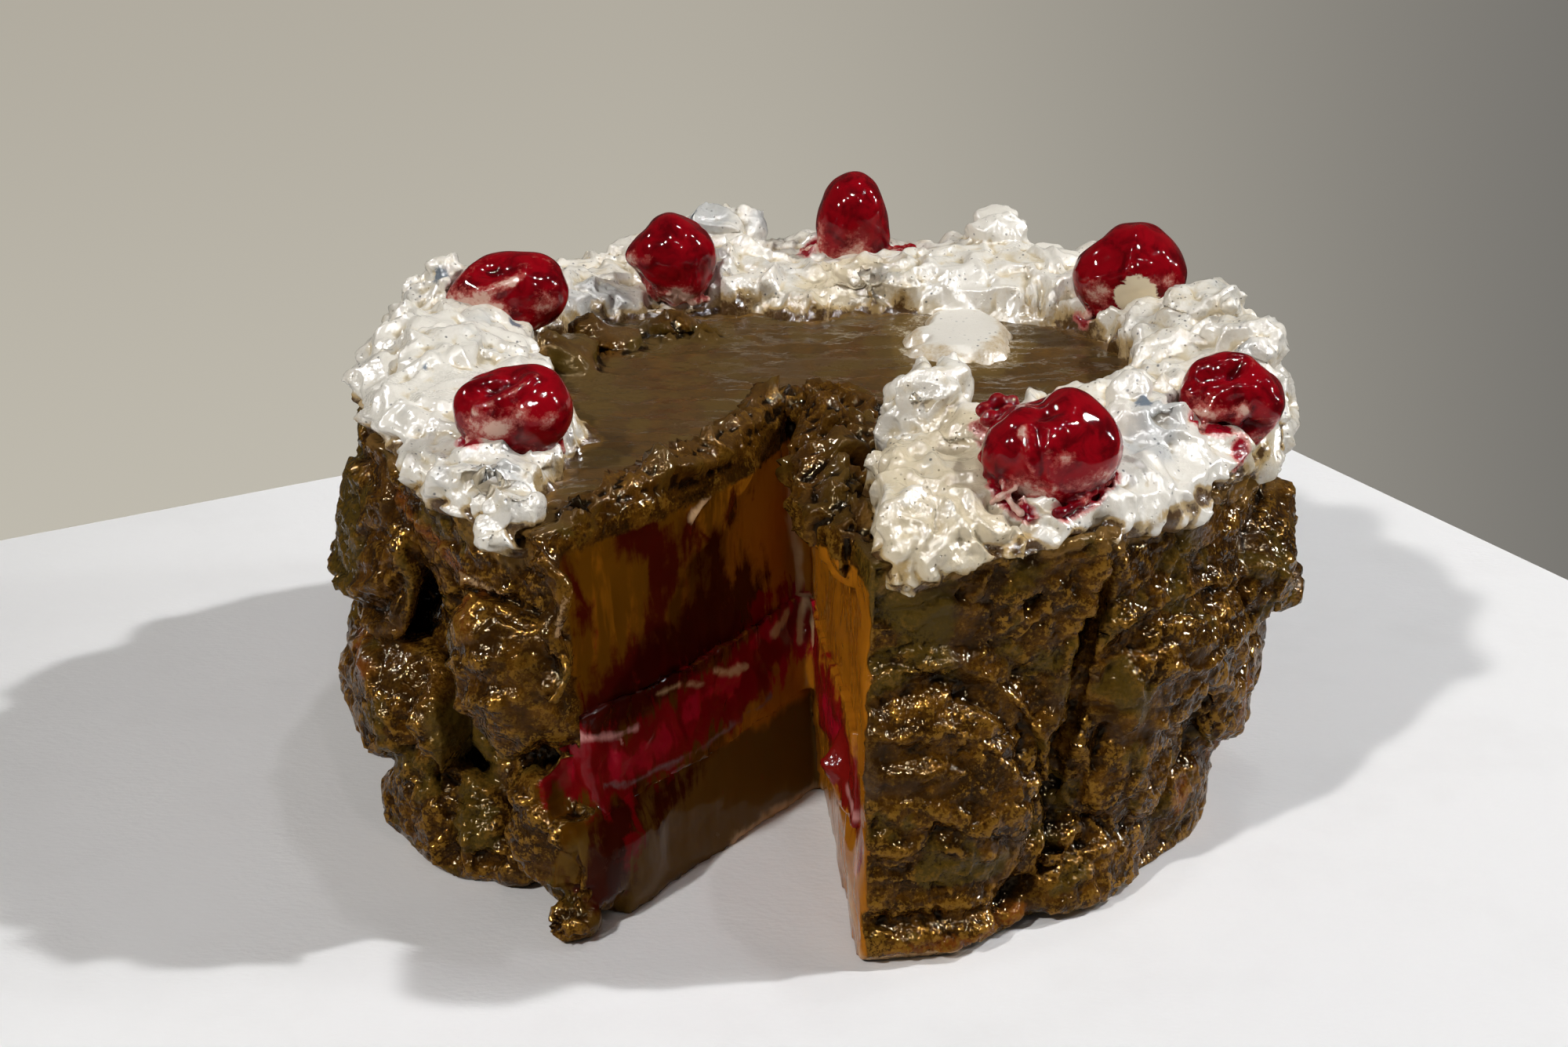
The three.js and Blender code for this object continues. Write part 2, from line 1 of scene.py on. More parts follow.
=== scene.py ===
"""A hand-built, glazed ceramic black forest cake with a wedge cut out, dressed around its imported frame.

Lengths and places are in millimetres unless a name ends in _m, and meshes are written in metres. +Z is up,
the origin is the centre of the underside, and the wedge opens towards -Y. Angles are degrees round the cake,
anticlockwise from +X, so that -90 is the open side.
"""

import itertools
import logging
import math
from dataclasses import dataclass
from enum import Enum
from typing import Any, ClassVar, Iterable, Sequence

import bmesh
import bpy
import numpy as np
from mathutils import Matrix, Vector
from mathutils.bvhtree import BVHTree


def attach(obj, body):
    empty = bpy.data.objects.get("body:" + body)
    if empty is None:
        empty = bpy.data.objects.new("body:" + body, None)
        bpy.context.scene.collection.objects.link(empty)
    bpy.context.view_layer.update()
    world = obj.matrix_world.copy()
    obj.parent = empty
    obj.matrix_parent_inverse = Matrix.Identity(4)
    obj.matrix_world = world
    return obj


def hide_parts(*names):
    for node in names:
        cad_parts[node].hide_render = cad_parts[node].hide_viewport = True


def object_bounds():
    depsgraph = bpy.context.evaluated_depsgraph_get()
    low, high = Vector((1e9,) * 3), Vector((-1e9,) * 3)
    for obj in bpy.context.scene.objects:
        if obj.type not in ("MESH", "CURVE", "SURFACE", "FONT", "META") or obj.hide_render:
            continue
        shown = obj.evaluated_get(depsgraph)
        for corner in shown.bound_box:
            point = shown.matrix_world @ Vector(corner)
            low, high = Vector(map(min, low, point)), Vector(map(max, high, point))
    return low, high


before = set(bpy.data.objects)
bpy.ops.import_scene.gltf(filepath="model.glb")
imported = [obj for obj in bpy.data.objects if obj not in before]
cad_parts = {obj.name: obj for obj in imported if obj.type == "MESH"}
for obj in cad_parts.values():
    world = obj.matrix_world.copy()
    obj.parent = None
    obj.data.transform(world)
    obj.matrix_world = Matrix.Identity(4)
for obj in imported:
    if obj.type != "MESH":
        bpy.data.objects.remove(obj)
CAD_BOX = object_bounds()

LOG = logging.getLogger("cake")
MM = 0.001
HEIGHT = 80.0  # underside to the brown top
SIDE_RADIUS = 96.0  # at which angles are read as lengths round the side
DRIP_GRAIN = 0.32  # cells in which the cherries' drips are fused

Array = np.ndarray
Colour = tuple[float, float, float]
Direction = tuple[float, float, float]
Spot = tuple[float, float, float, float]  # x, y, z and radius
Stops = tuple[tuple[float, float], ...]  # the points of a line in plan or on a surface


class Slot(Enum):
    """The record's material slots."""

    BODY = "brown_glaze"
    LAYER = "cherry_layer_glaze"
    CREAM = "cream_glaze"
    CHERRY = "cherry_glaze"


class Sum(Enum):
    """The arithmetic that finishes are worked out with."""

    ADD = "ADD"
    SUBTRACT = "SUBTRACT"
    MULTIPLY = "MULTIPLY"


# ------------------------------------------------------------------------------------ unevenness


def ease(values: Array, low: float, high: float) -> Array:
    """Smooth step from 0 at low to 1 at high."""
    share = np.clip((values - low) / (high - low), 0.0, 1.0)
    return share * share * (3.0 - 2.0 * share)


def hill(distance: Array) -> Array:
    """A round hill: 1 at distance 0, falling smoothly to 0 at distance 1."""
    return np.clip(1.0 - distance * distance, 0.0, 1.0) ** 2


class Uneven:
    """Repeatable unevenness of hand-worked clay, read at many points at once."""

    PRIMES = np.array([374761393, 668265263, 1440662683], np.uint32)
    SLOPES = np.array(list(itertools.product((-1, 1), (-1, 1), (0,))), np.float32)
    SLOPES = np.concatenate([SLOPES, SLOPES[:, [0, 2, 1]], SLOPES[:, [2, 0, 1]], SLOPES])

    @staticmethod
    def stir(number: Array) -> Array:
        """Scrambles whole numbers so that neighbours have nothing in common.

        Args:
            number: unsigned whole numbers.

        Returns:
            As many scrambled ones.
        """
        number = (number ^ (number >> np.uint32(13))) * np.uint32(1274126177)
        number = (number ^ (number >> np.uint32(15))) * np.uint32(739982445)
        return number ^ (number >> np.uint32(16))

    @classmethod
    def waves(cls, points: Array, size: float | Sequence[float], seed: int = 0) -> Array:
        """Smooth hills and hollows.

        Args:
            points: places, N x 3.
            size: width of a hill, or its width along X, Y and Z.
            seed: picks another pattern.

        Returns:
            N values, about -1 to 1.
        """
        at = (points / np.asarray(size, np.float32)).astype(np.float32)
        cell = np.floor(at)
        part = at - cell
        blend = part**3 * (part * (part * 6 - 15) + 10)
        whole = cell.astype(np.int64).astype(np.uint32)
        near, far = whole * cls.PRIMES, (whole + np.uint32(1)) * cls.PRIMES
        salt = np.uint32((seed * 2654435761 + 97) & 0xFFFFFFFF)
        total = np.zeros(len(points), np.float32)
        for pick in itertools.product((0, 1), repeat=3):
            mixed = np.full(len(points), salt, np.uint32)
            weight = np.ones(len(points), np.float32)
            for axis, taken in enumerate(pick):
                mixed ^= (far if taken else near)[:, axis]
                weight *= blend[:, axis] if taken else 1 - blend[:, axis]
            slope = cls.SLOPES[cls.stir(mixed) & np.uint32(15)]
            total += weight * ((part - np.array(pick, np.float32)) * slope).sum(1)
        return total * 1.4

    @classmethod
    def fractal(cls, points: Array, size: float | Sequence[float], octaves: int = 3, seed: int = 0) -> Array:
        """Hills on hills, each octave half the size and half the height of the one before."""
        sizes = np.asarray(size, float)
        return sum(cls.waves(points, sizes / 2**n, seed + n) / 2**n for n in range(octaves))

    @classmethod
    def billows(cls, points: Array, size: float | Sequence[float], seed: int = 0) -> Array:
        """Round lumps with sharp valleys between them, about 0 to 1."""
        return np.abs(cls.waves(points, size, seed))

    @classmethod
    def crests(cls, points: Array, size: float | Sequence[float], seed: int = 0) -> Array:
        """Sharp crests between round valleys, about 0 to 1."""
        return 1.0 - np.minimum(1.0, 2.2 * np.abs(cls.waves(points, size, seed)))

    @classmethod
    def chips(cls, points: Array, size: float | Sequence[float], seed: int = 0) -> tuple[Array, Array, Array]:
        """Irregular chips that fill space.

        Args:
            points: places, N x 3.
            size: width of a chip, or its width along X, Y and Z.
            seed: picks another pattern.

        Returns:
            The distance to the nearest chip's heart and to the next one, in chip sizes, and a value of
            -1 to 1 that is the same all over one chip.
        """
        at = points / np.asarray(size, float)
        cell = np.floor(at).astype(np.int64)
        salt = np.uint32((seed * 2654435761 + 31) & 0xFFFFFFFF)
        first, second = np.full(len(at), 9.0), np.full(len(at), 9.0)
        value = np.zeros(len(at))
        for shift in itertools.product((-1, 0, 1), repeat=3):
            there = cell + np.array(shift)
            mixed = (there.astype(np.uint32) * cls.PRIMES)
            number = cls.stir(mixed[:, 0] ^ mixed[:, 1] ^ mixed[:, 2] ^ salt)
            jitter = np.stack([(number >> np.uint32(s)) & np.uint32(1023) for s in (0, 10, 20)], 1) / 1023.0
            reach = np.sqrt(((at - there - jitter) ** 2).sum(1))
            closer = reach < first
            second = np.where(closer, first, np.minimum(second, reach))
            value = np.where(closer, (number >> np.uint32(7) & np.uint32(255)) / 127.5 - 1.0, value)
            first = np.minimum(first, reach)
        return first, second, value


# ------------------------------------------------------------------------------------ shells


def away_from_line(places: Array, path: Sequence[Sequence[float]]) -> Array:
    """How far places are from a line.

    Args:
        places: the places, N rows.
        path: the points of the line, in the same coordinates.

    Returns:
        The distance of each place from the nearest point of the line.
    """
    stops = np.asarray(path, float)
    nearest = np.full(len(places), 1e9)
    for start, end in zip(stops[:-1], stops[1:]):
        run = end - start
        share = np.clip(((places - start) @ run) / max(float(run @ run), 1e-9), 0.0, 1.0)
        gap = places - start - share[:, None] * run
        nearest = np.minimum(nearest, np.sqrt((gap * gap).sum(1)))
    return nearest


@dataclass(frozen=True)
class Mark:
    """A ridge or groove along a line.

    Attributes:
        path: the points of the line, in the coordinates of the surface it is on.
        width: half width of the mark.
        height: how far it stands up, or is cut in where negative.
        sharp: whether it comes to an edge rather than being round.
    """

    path: tuple[tuple[float, ...], ...]
    width: float
    height: float = 1.0
    sharp: bool = False

    def weight(self, places: Array, waver: Array | float = 0.0) -> Array:
        """How strongly the mark covers each place, from 0 to 1."""
        away = np.abs(away_from_line(places, self.path) + waver) / self.width
        return np.exp(-1.4 * away) if self.sharp else np.exp(-away * away)


def strongest(marks: Iterable[Mark], places: Array, waver: Array | float = 0.0) -> Array:
    """How strongly any of several marks covers each place.

    Args:
        marks: the marks.
        places: the places, N rows.
        waver: what is added to the distances, so that edges run unevenly.

    Returns:
        The greatest weight times height of the marks at each place.
    """
    total = np.zeros(len(places))
    for mark in marks:
        total = np.maximum(total, mark.height * mark.weight(places, waver))
    return total


def spots(points: Array, places: Iterable[Spot]) -> Array:
    """How strongly any of several round spots covers each point.

    Args:
        points: the points, N x 3.
        places: the spots, each as x, y, z and radius.

    Returns:
        The greatest weight at each point, from 0 to 1.
    """
    total = np.zeros(len(points))
    for *centre, radius in places:
        away = np.linalg.norm(points - np.array(centre), axis=1)
        total = np.maximum(total, hill(away / (1.8 * radius)))
    return total


class Shell:
    """A closed mesh in the course of being shaped, as arrays in millimetres."""

    def __init__(self, mesh: bpy.types.Mesh) -> None:
        """Reads the points, the edges and the triangles of a mesh.

        Args:
            mesh: the mesh, in metres.
        """
        self.mesh = mesh
        count = len(mesh.vertices)
        flat = np.empty(count * 3, np.float32)
        mesh.vertices.foreach_get("co", flat)
        self.points = flat.reshape(-1, 3).astype(float) / MM
        edges = np.empty(len(mesh.edges) * 2, np.int32)
        mesh.edges.foreach_get("vertices", edges)
        self.edges = edges.reshape(-1, 2)
        mesh.calc_loop_triangles()
        corners = np.empty(len(mesh.loop_triangles) * 3, np.int32)
        mesh.loop_triangles.foreach_get("vertices", corners)
        self.triangles = corners.reshape(-1, 3)
        self.degree = np.maximum(1, np.bincount(self.edges.ravel(), minlength=count))

    @property
    def normals(self) -> Array:
        """The outward direction at each point.

        Returns:
            Unit vectors, N x 3.
        """
        a, b, c = (self.points[self.triangles[:, corner]] for corner in range(3))
        faces = np.cross(b - a, c - a)
        count = len(self.points)
        total = np.stack(
            [
                sum(np.bincount(self.triangles[:, corner], faces[:, axis], count) for corner in range(3))
                for axis in range(3)
            ],
            1,
        )
        return total / np.maximum(1e-12, np.linalg.norm(total, axis=1))[:, None]

    def average(self, values: Array, rounds: int = 1) -> Array:
        """Evens out values over neighbouring points.

        Args:
            values: one value or one row for each point.
            rounds: how many times each point takes its neighbours' mean.

        Returns:
            The evened values, in the same shape.
        """
        count = len(self.points)
        columns = values.reshape(count, -1)
        for _ in range(rounds):
            columns = np.stack(
                [
                    np.bincount(self.edges[:, 0], column[self.edges[:, 1]], count)
                    + np.bincount(self.edges[:, 1], column[self.edges[:, 0]], count)
                    for column in columns.T
                ],
                1,
            ) / self.degree[:, None]
        return columns.reshape(values.shape)

    def soften(self, rounds: int, keep: float = 0.53, weight: Array | float = 1.0) -> None:
        """Rounds off edges and facets without shrinking the whole.

        Args:
            rounds: how many times.
            keep: share of each second step, which swells what the first one shrank.
            weight: how much each point takes part, from 0 to 1.
        """
        amount = np.broadcast_to(np.asarray(weight, float), (len(self.points),))[:, None]
        for _ in range(rounds):
            self.points += 0.5 * amount * (self.average(self.points) - self.points)
            self.points -= keep * amount * (self.average(self.points) - self.points)

    def push(self, amount: Array) -> None:
        """Moves every point along its normal."""
        self.points += self.normals * amount[:, None]

    def hollowness(self, rounds: int) -> Array:
        """How far each point lies below its surroundings, in millimetres."""
        return ((self.average(self.points, rounds) - self.points) * self.normals).sum(1)

    def store(self) -> None:
        """Writes the points back, inside the frame's box and never below the floor."""
        low, high = (np.array(corner) for corner in CAD_BOX)
        metres = np.clip(self.points * MM, low, high)
        self.mesh.vertices.foreach_set("co", metres.astype(np.float32).ravel())
        self.mesh.update()

    def note(self, name: str, values: Array) -> None:
        """Keeps a value of 0 to 1 for each point, for the finish to read."""
        layer = self.mesh.attributes.new(name, "FLOAT", "POINT")
        layer.data.foreach_set("value", np.clip(values, 0.0, 1.0).astype(np.float32))


@dataclass(frozen=True)
class Stock:
    """How a piece's rough shape is taken from its node of the frame.

    Attributes:
        node: name of the node.
        grain: size of the even cells that the surface is rebuilt in.
        budget: most triangles of the finished piece.
        smooth: rounds of softening before it is shaped.
    """

    node: str
    grain: float
    budget: int
    smooth: int

    def copy(self, name: str) -> bpy.types.Object:
        """Copies the node's mesh, merges its points and rebuilds it in even cells.

        Args:
            name: name of the new piece.

        Returns:
            The piece, not yet shaped.
        """
        work = bmesh.new()
        work.from_mesh(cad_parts[self.node].data)
        bmesh.ops.remove_doubles(work, verts=work.verts, dist=1e-6)
        mesh = bpy.data.meshes.new(name)
        work.to_mesh(mesh)
        work.free()
        piece = bpy.data.objects.new(name, mesh)
        bpy.context.scene.collection.objects.link(piece)
        remesh = piece.modifiers.new("cells", "REMESH")
        remesh.mode = "VOXEL"
        remesh.voxel_size = self.grain * MM * 1.0
        settle(piece)
        return piece

    def thin_out(self, piece: bpy.types.Object) -> Shell:
        """Leaves out points where the surface is plain, down to the budget.

        Args:
            piece: the shaped piece.

        Returns:
            The shell of what is left.
        """
        triangles = sum(len(face.vertices) - 2 for face in piece.data.polygons)
        if triangles > self.budget:
            fewer = piece.modifiers.new("fewer", "DECIMATE")
            fewer.ratio = self.budget / triangles
            settle(piece)
        drop_scraps(piece.data)
        shell = Shell(piece.data)
        shell.store()
        return shell


def settle(piece: bpy.types.Object) -> None:
    """Applies a piece's modifiers to its mesh.

    Args:
        piece: the piece, which gets a new mesh.
    """
    seen = piece.evaluated_get(bpy.context.evaluated_depsgraph_get())
    mesh = bpy.data.meshes.new_from_object(seen)
    old = piece.data
    piece.modifiers.clear()
    piece.data = mesh
    bpy.data.meshes.remove(old)


def drop_scraps(mesh: bpy.types.Mesh) -> None:
    """Deletes the specks that rebuilding leaves beside the one large closed form.

    Args:
        mesh: the mesh, of which only the form with most points stays.
    """
    work = bmesh.new()
    work.from_mesh(mesh)
    waiting, forms = set(work.verts), []
    while waiting:
        form = [waiting.pop()]
        for point in form:
            beside = {edge.other_vert(point) for edge in point.link_edges} & waiting
            waiting -= beside
            form += beside
        forms.append(form)
    forms.sort(key=len)
    bmesh.ops.delete(work, geom=[point for form in forms[:-1] for point in form], context="VERTS")
    work.to_mesh(mesh)
    work.free()


def hand_over(piece: bpy.types.Object, finish: bpy.types.Material, node: str) -> None:
    """Dresses a finished piece and puts it in its node's place.

    Args:
        piece: the piece, with its place in its mesh.
        finish: its material.
        node: the node of the frame that it stands for.
    """
    piece.data.materials.clear()
    piece.data.materials.append(finish)
    piece.data.shade_smooth()
    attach(piece, "root")
    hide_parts(node)
    LOG.info("%s: %d triangles", piece.name, sum(len(f.vertices) - 2 for f in piece.data.polygons))


# ------------------------------------------------------------------------------------ places


def angle_of(points: Array, start: float = -180.0) -> Array:
    """Angle of each point round the cake, in the turn that starts at start."""
    return (np.degrees(np.arctan2(points[:, 1], points[:, 0])) - start) % 360.0 + start


def radius_of(points: Array) -> Array:
    """Distance of each point from the cake's axis."""
    return np.hypot(points[:, 0], points[:, 1])


def round_side(angle: Array | float, z: Array | float) -> tuple[Any, Any]:
    """A place on the side as its length round the cake and its height."""
    return np.radians(angle) * SIDE_RADIUS, z


def side_path(*stops: tuple[float, float]) -> Stops:
    """A line on the side, given by angle and height."""
    return tuple((float(math.radians(angle) * SIDE_RADIUS), float(z)) for angle, z in stops)


def distance_to(skin: BVHTree, points: Array) -> Array:
    """Distance of each point from a surface that is kept in metres."""
    return np.array([skin.find_nearest(Vector(point * MM))[3] / MM for point in points])


def along_side(*rows: tuple) -> tuple[Mark, ...]:
    """Marks on the side, each row being half width, height, whether it is sharp, and angle and height of its stops."""
    return tuple(Mark(side_path(*stops), width, height, sharp) for width, height, sharp, *stops in rows)


@dataclass(frozen=True)
class CutWall:
    """One of the two cut walls, as apex, middle and outer corner in plan, at the floor and at the rim."""

    foot: Stops
    rim: Stops
    to_gap: tuple[float, float]
    length: float = 77.0

    def read(self, points: Array) -> tuple[Array, Array]:
        """Where points lie along the wall.

        Args:
            points: the points, N x 3.

        Returns:
            The distance from the apex along the wall, and how far out into the gap.
        """
        rise = np.clip(points[:, 2] / HEIGHT, 0.0, 1.0)[:, None]
        apex, middle, corner = (
            np.array(low) * (1 - rise) + np.array(high) * rise for low, high in zip(self.foot, self.rim)
        )
        flat = points[:, :2]
        chord = corner - apex
        share = ((flat - apex) * chord).sum(1) / (chord * chord).sum(1)
        s = share[:, None]
        line = apex * (1 - s) * (1 - 2 * s) + 4 * middle * s * (1 - s) + corner * s * (2 * s - 1)
        return share * self.length, (flat - line) @ np.array(self.to_gap)

    def weight(self, points: Array, normals: Array, depth: float = 7.0) -> Array:
        """How much each point belongs to this wall.

        Args:
            points: the points, N x 3.
            normals: their outward directions.
            depth: how far behind or before the wall a point may lie.

        Returns:
            The share of each point, from 0 to 1.
        """
        run, out = self.read(points)
        facing = ease(normals[:, :2] @ np.array(self.to_gap), 0.15, 0.5)
        near = ease(-np.abs(out), -depth, -depth + 2.0)
        return facing * near * ease(run, -5.0, -1.0) * ease(-run, -82.0, -78.0)


LEFT_WALL = CutWall(((1, -32), (-20, -61), (-43, -90)), ((-5.5, -16), (-24, -53), (-56, -89)), (0.775, -0.632))
RIGHT_WALL = CutWall(((2.5, -32), (5.5, -66), (8.5, -102)), ((-3, -16), (3, -54), (9.4, -93)), (-0.99, -0.14))


# ------------------------------------------------------------------------------------ finishes


class Reading:
    """One socket of the nodes. Arithmetic on it adds Math nodes."""

    def __init__(self, nodes: "Nodes", socket: bpy.types.NodeSocket) -> None:
        """Wraps a socket."""
        self.nodes = nodes
        self.socket = socket

    def maths(self, operation: Sum, other: Any, flipped: bool = False) -> "Reading":
        """Adds a Math node.

        Args:
            operation: what it does.
            other: the number or reading that this socket meets.
            flipped: whether this socket comes second.

        Returns:
            The node's result.
        """
        values = (other, self) if flipped else (self, other)
        return self.nodes.node("ShaderNodeMath", {"operation": operation.value}, dict(enumerate(values)))

    def __add__(self, other: Any) -> "Reading":
        """Sum."""
        return self.maths(Sum.ADD, other)

    __radd__ = __add__

    def __mul__(self, other: Any) -> "Reading":
        """Product."""
        return self.maths(Sum.MULTIPLY, other)

    __rmul__ = __mul__

    def __sub__(self, other: Any) -> "Reading":
        """Difference."""
        return self.maths(Sum.SUBTRACT, other)

    def __rsub__(self, other: Any) -> "Reading":
        """Difference, with this socket taken away."""
        return self.maths(Sum.SUBTRACT, other, flipped=True)

    def step(self, low: float, high: float) -> "Reading":
        """Smooth step, which falls instead of rising where low is above high.

        Args:
            low: where it is 0.
            high: where it is 1.

        Returns:
            The step of this socket.
        """
        reach = {1: low, 2: high, 3: 0.0, 4: 1.0} if low < high else {1: high, 2: low, 3: 1.0, 4: 0.0}
        settings = {"interpolation_type": "SMOOTHSTEP"}
        return self.nodes.node("ShaderNodeMapRange", settings, {0: self, **reach})


class Nodes:
    """The nodes of a finish or of the room."""

    def __init__(self, tree: bpy.types.NodeTree) -> None:
        """Starts an empty tree."""
        self.tree = tree
        self.tree.nodes.clear()

    def node(self, kind: str, settings: dict | None = None, inputs: dict | None = None, output: Any = 0) -> Any:
        """Adds one node.

        Args:
            kind: the node's type.
            settings: its properties, set first.
            inputs: values or readings by socket name or number.
            output: the socket to read, or None where there is none.

        Returns:
            The reading of that socket.
        """
        made = self.tree.nodes.new(kind)
        for name, value in (settings or {}).items():
            setattr(made, name, value)
        for name, value in (inputs or {}).items():
            if isinstance(value, Reading):
                self.tree.links.new(value.socket, made.inputs[name])
            else:
                made.inputs[name].default_value = value
        return None if output is None else Reading(self, made.outputs[output])

    def mix(self, share: Any, first: Any, second: Any) -> Reading:
        """Blends two colours."""
        inputs = {0: share, 6: self.opaque(first), 7: self.opaque(second)}
        return self.node("ShaderNodeMix", {"data_type": "RGBA"}, inputs, 2)

    @staticmethod
    def opaque(colour: Any) -> Any:
        """A colour with its alpha, or a reading as it is."""
        return colour if isinstance(colour, Reading) else (*colour, 1.0)


class Recipe(Nodes):
    """The nodes of one finish, with object coordinates read in millimetres."""

    def __init__(self, name: str) -> None:
        """Starts an empty material.

        Args:
            name: the material's name.
        """
        self.material = bpy.data.materials.new(name)
        self.material.use_nodes = True
        super().__init__(self.material.node_tree)
        place = self.node("ShaderNodeTexCoord", output="Object")
        scale = {"Scale": 1.0 / MM}
        self.place = self.node("ShaderNodeVectorMath", {"operation": "SCALE"}, {0: place, **scale})

    def attribute(self, name: str) -> Reading:
        """Reads a value kept on the piece's points."""
        return self.node("ShaderNodeAttribute", {"attribute_name": name}, output="Fac")

    def shifted(self, seed: int, stretch: Sequence[float] = (1.0, 1.0, 1.0)) -> Reading:
        """The place, moved and stretched so that each pattern differs."""
        inputs = {"Vector": self.place, "Location": (seed * 17.3, seed * 5.1, seed * 11.7), "Scale": stretch}
        return self.node("ShaderNodeMapping", {}, inputs)

    def noise(
        self, size: float, detail: float = 2.0, rough: float = 0.5, seed: int = 0,
        stretch: Sequence[float] = (1.0, 1.0, 1.0), twist: float = 0.0,
    ) -> Reading:
        """Soft noise.

        Args:
            size: width of a hill in millimetres.
            detail: how many finer octaves are laid over it.
            rough: how strong each finer octave is.
            seed: picks another place of the pattern.
            stretch: how much closer the pattern stands along each axis.
            twist: how far it is distorted.

        Returns:
            A value of 0 to 1.
        """
        place = self.shifted(seed, stretch)
        inputs = {"Vector": place, "Scale": 1.0 / size, "Detail": detail, "Roughness": rough, "Distortion": twist}
        return self.node("ShaderNodeTexNoise", {}, inputs)

    def cells(self, size: float, seed: int = 0) -> Reading:
        """Distance in cells to the nearest of many scattered points."""
        inputs = {"Vector": self.shifted(seed), "Scale": 1.0 / size}
        return self.node("ShaderNodeTexVoronoi", {"feature": "F1"}, inputs, "Distance")

    def finish(self, colour: Reading, roughness: Any, height: Reading, **constants: Any) -> bpy.types.Material:
        """Closes the finish with a shader.

        Args:
            colour: the base colour.
            roughness: a number or a reading.
            height: fine relief in millimetres.
            constants: other inputs of the shader, by name with _ for a space.

        Returns:
            The material.
        """
        normal = self.node("ShaderNodeBump", {}, {"Strength": 1.0, "Distance": MM, "Height": height})
        inputs = {"Base Color": colour, "Roughness": roughness, "Normal": normal}
        inputs |= {name.replace("_", " "): value for name, value in constants.items()}
        shader = self.node("ShaderNodeBsdfPrincipled", {}, inputs)
        self.node("ShaderNodeOutputMaterial", {}, {"Surface": shader}, None)
        return self.material


@dataclass(frozen=True)
class WallGlaze:
    """The wet glazes that cover body and layer alike on the cut walls, with painted light where the walls are lit, a
    painted highlight down the apex and a painted mauve sheen under the red band.
    """

    amber: Colour = (0.078, 0.027, 0.0012)
    # pale_and_lit_amber: paler amber at random, and painted light where the walls are lit
    pale_and_lit_amber: Colour = (0.33, 0.112, 0.006)
    olive: Colour = (0.095, 0.046, 0.007)
    maroon: Colour = (0.030, 0.0008, 0.0008)
    red: Colour = (0.155, 0.0012, 0.0036)
    bright: Colour = (0.31, 0.004, 0.015)
    # tan: tan flakes, and the painted highlight down the apex
    tan: Colour = (0.52, 0.33, 0.17)
    pink: Colour = (0.62, 0.30, 0.27)
    # mauve: a painted sheen
    mauve_sheen: Colour = (0.16, 0.10, 0.10)

    def over(self, r: Recipe, under: Any) -> Reading:
        """Lays the wall's glazes over a colour where the piece's wall attribute is high.

        Args:
            r: the finish being made.
            under: its colour away from the walls.

        Returns:
            The colour of both.
        """
        fine = r.noise(0.9, 3.0, 0.6, seed=51)
        stain = r.noise(3.2, 4.0, 0.6, seed=52, twist=0.5)
        flow = r.noise(7.0, 4.0, 0.6, seed=53, stretch=(1.0, 1.0, 0.35), twist=0.6)
        streak = r.noise(3.0, 3.0, 0.6, seed=54, stretch=(1.0, 1.0, 0.18), twist=0.5).step(0.38, 0.62)
        # painted light: lighter amber near the apex of the left wall and all over the right wall, besides random pools
        lit = 0.9 * flow + 0.25 * streak + 0.8 * r.attribute("light") - 0.28
        pools = r.mix(lit.step(0.25, 0.95), self.amber, self.pale_and_lit_amber)
        pools = r.mix((r.attribute("low") + 0.8 * flow - 0.4).step(0.35, 0.75), pools, self.olive)
        mottled = 0.6 * stain + 0.7 * flow + 0.26 * streak + 0.2 * fine - 0.88
        for name, tone, soft, patchy in (
            ("maroon", self.maroon, 0.26, 1.0), ("red", self.red, 0.16, 1.0), ("bright", self.bright, 0.26, 1.0),
            ("mauve_sheen", self.mauve_sheen, 0.30, 0.35), ("tan", self.tan, 0.30, 0.35), ("pink", self.pink, 0.30, 0.35),
        ):
            share = (r.attribute(name) + patchy * mottled).step(0.45 - soft, 0.45 + soft)
            pools = r.mix(share * 0.96, pools, tone)
        return r.mix((r.attribute("wall") + 0.5 * stain + 0.2 * fine - 0.35).step(0.38, 0.58), under, pools)


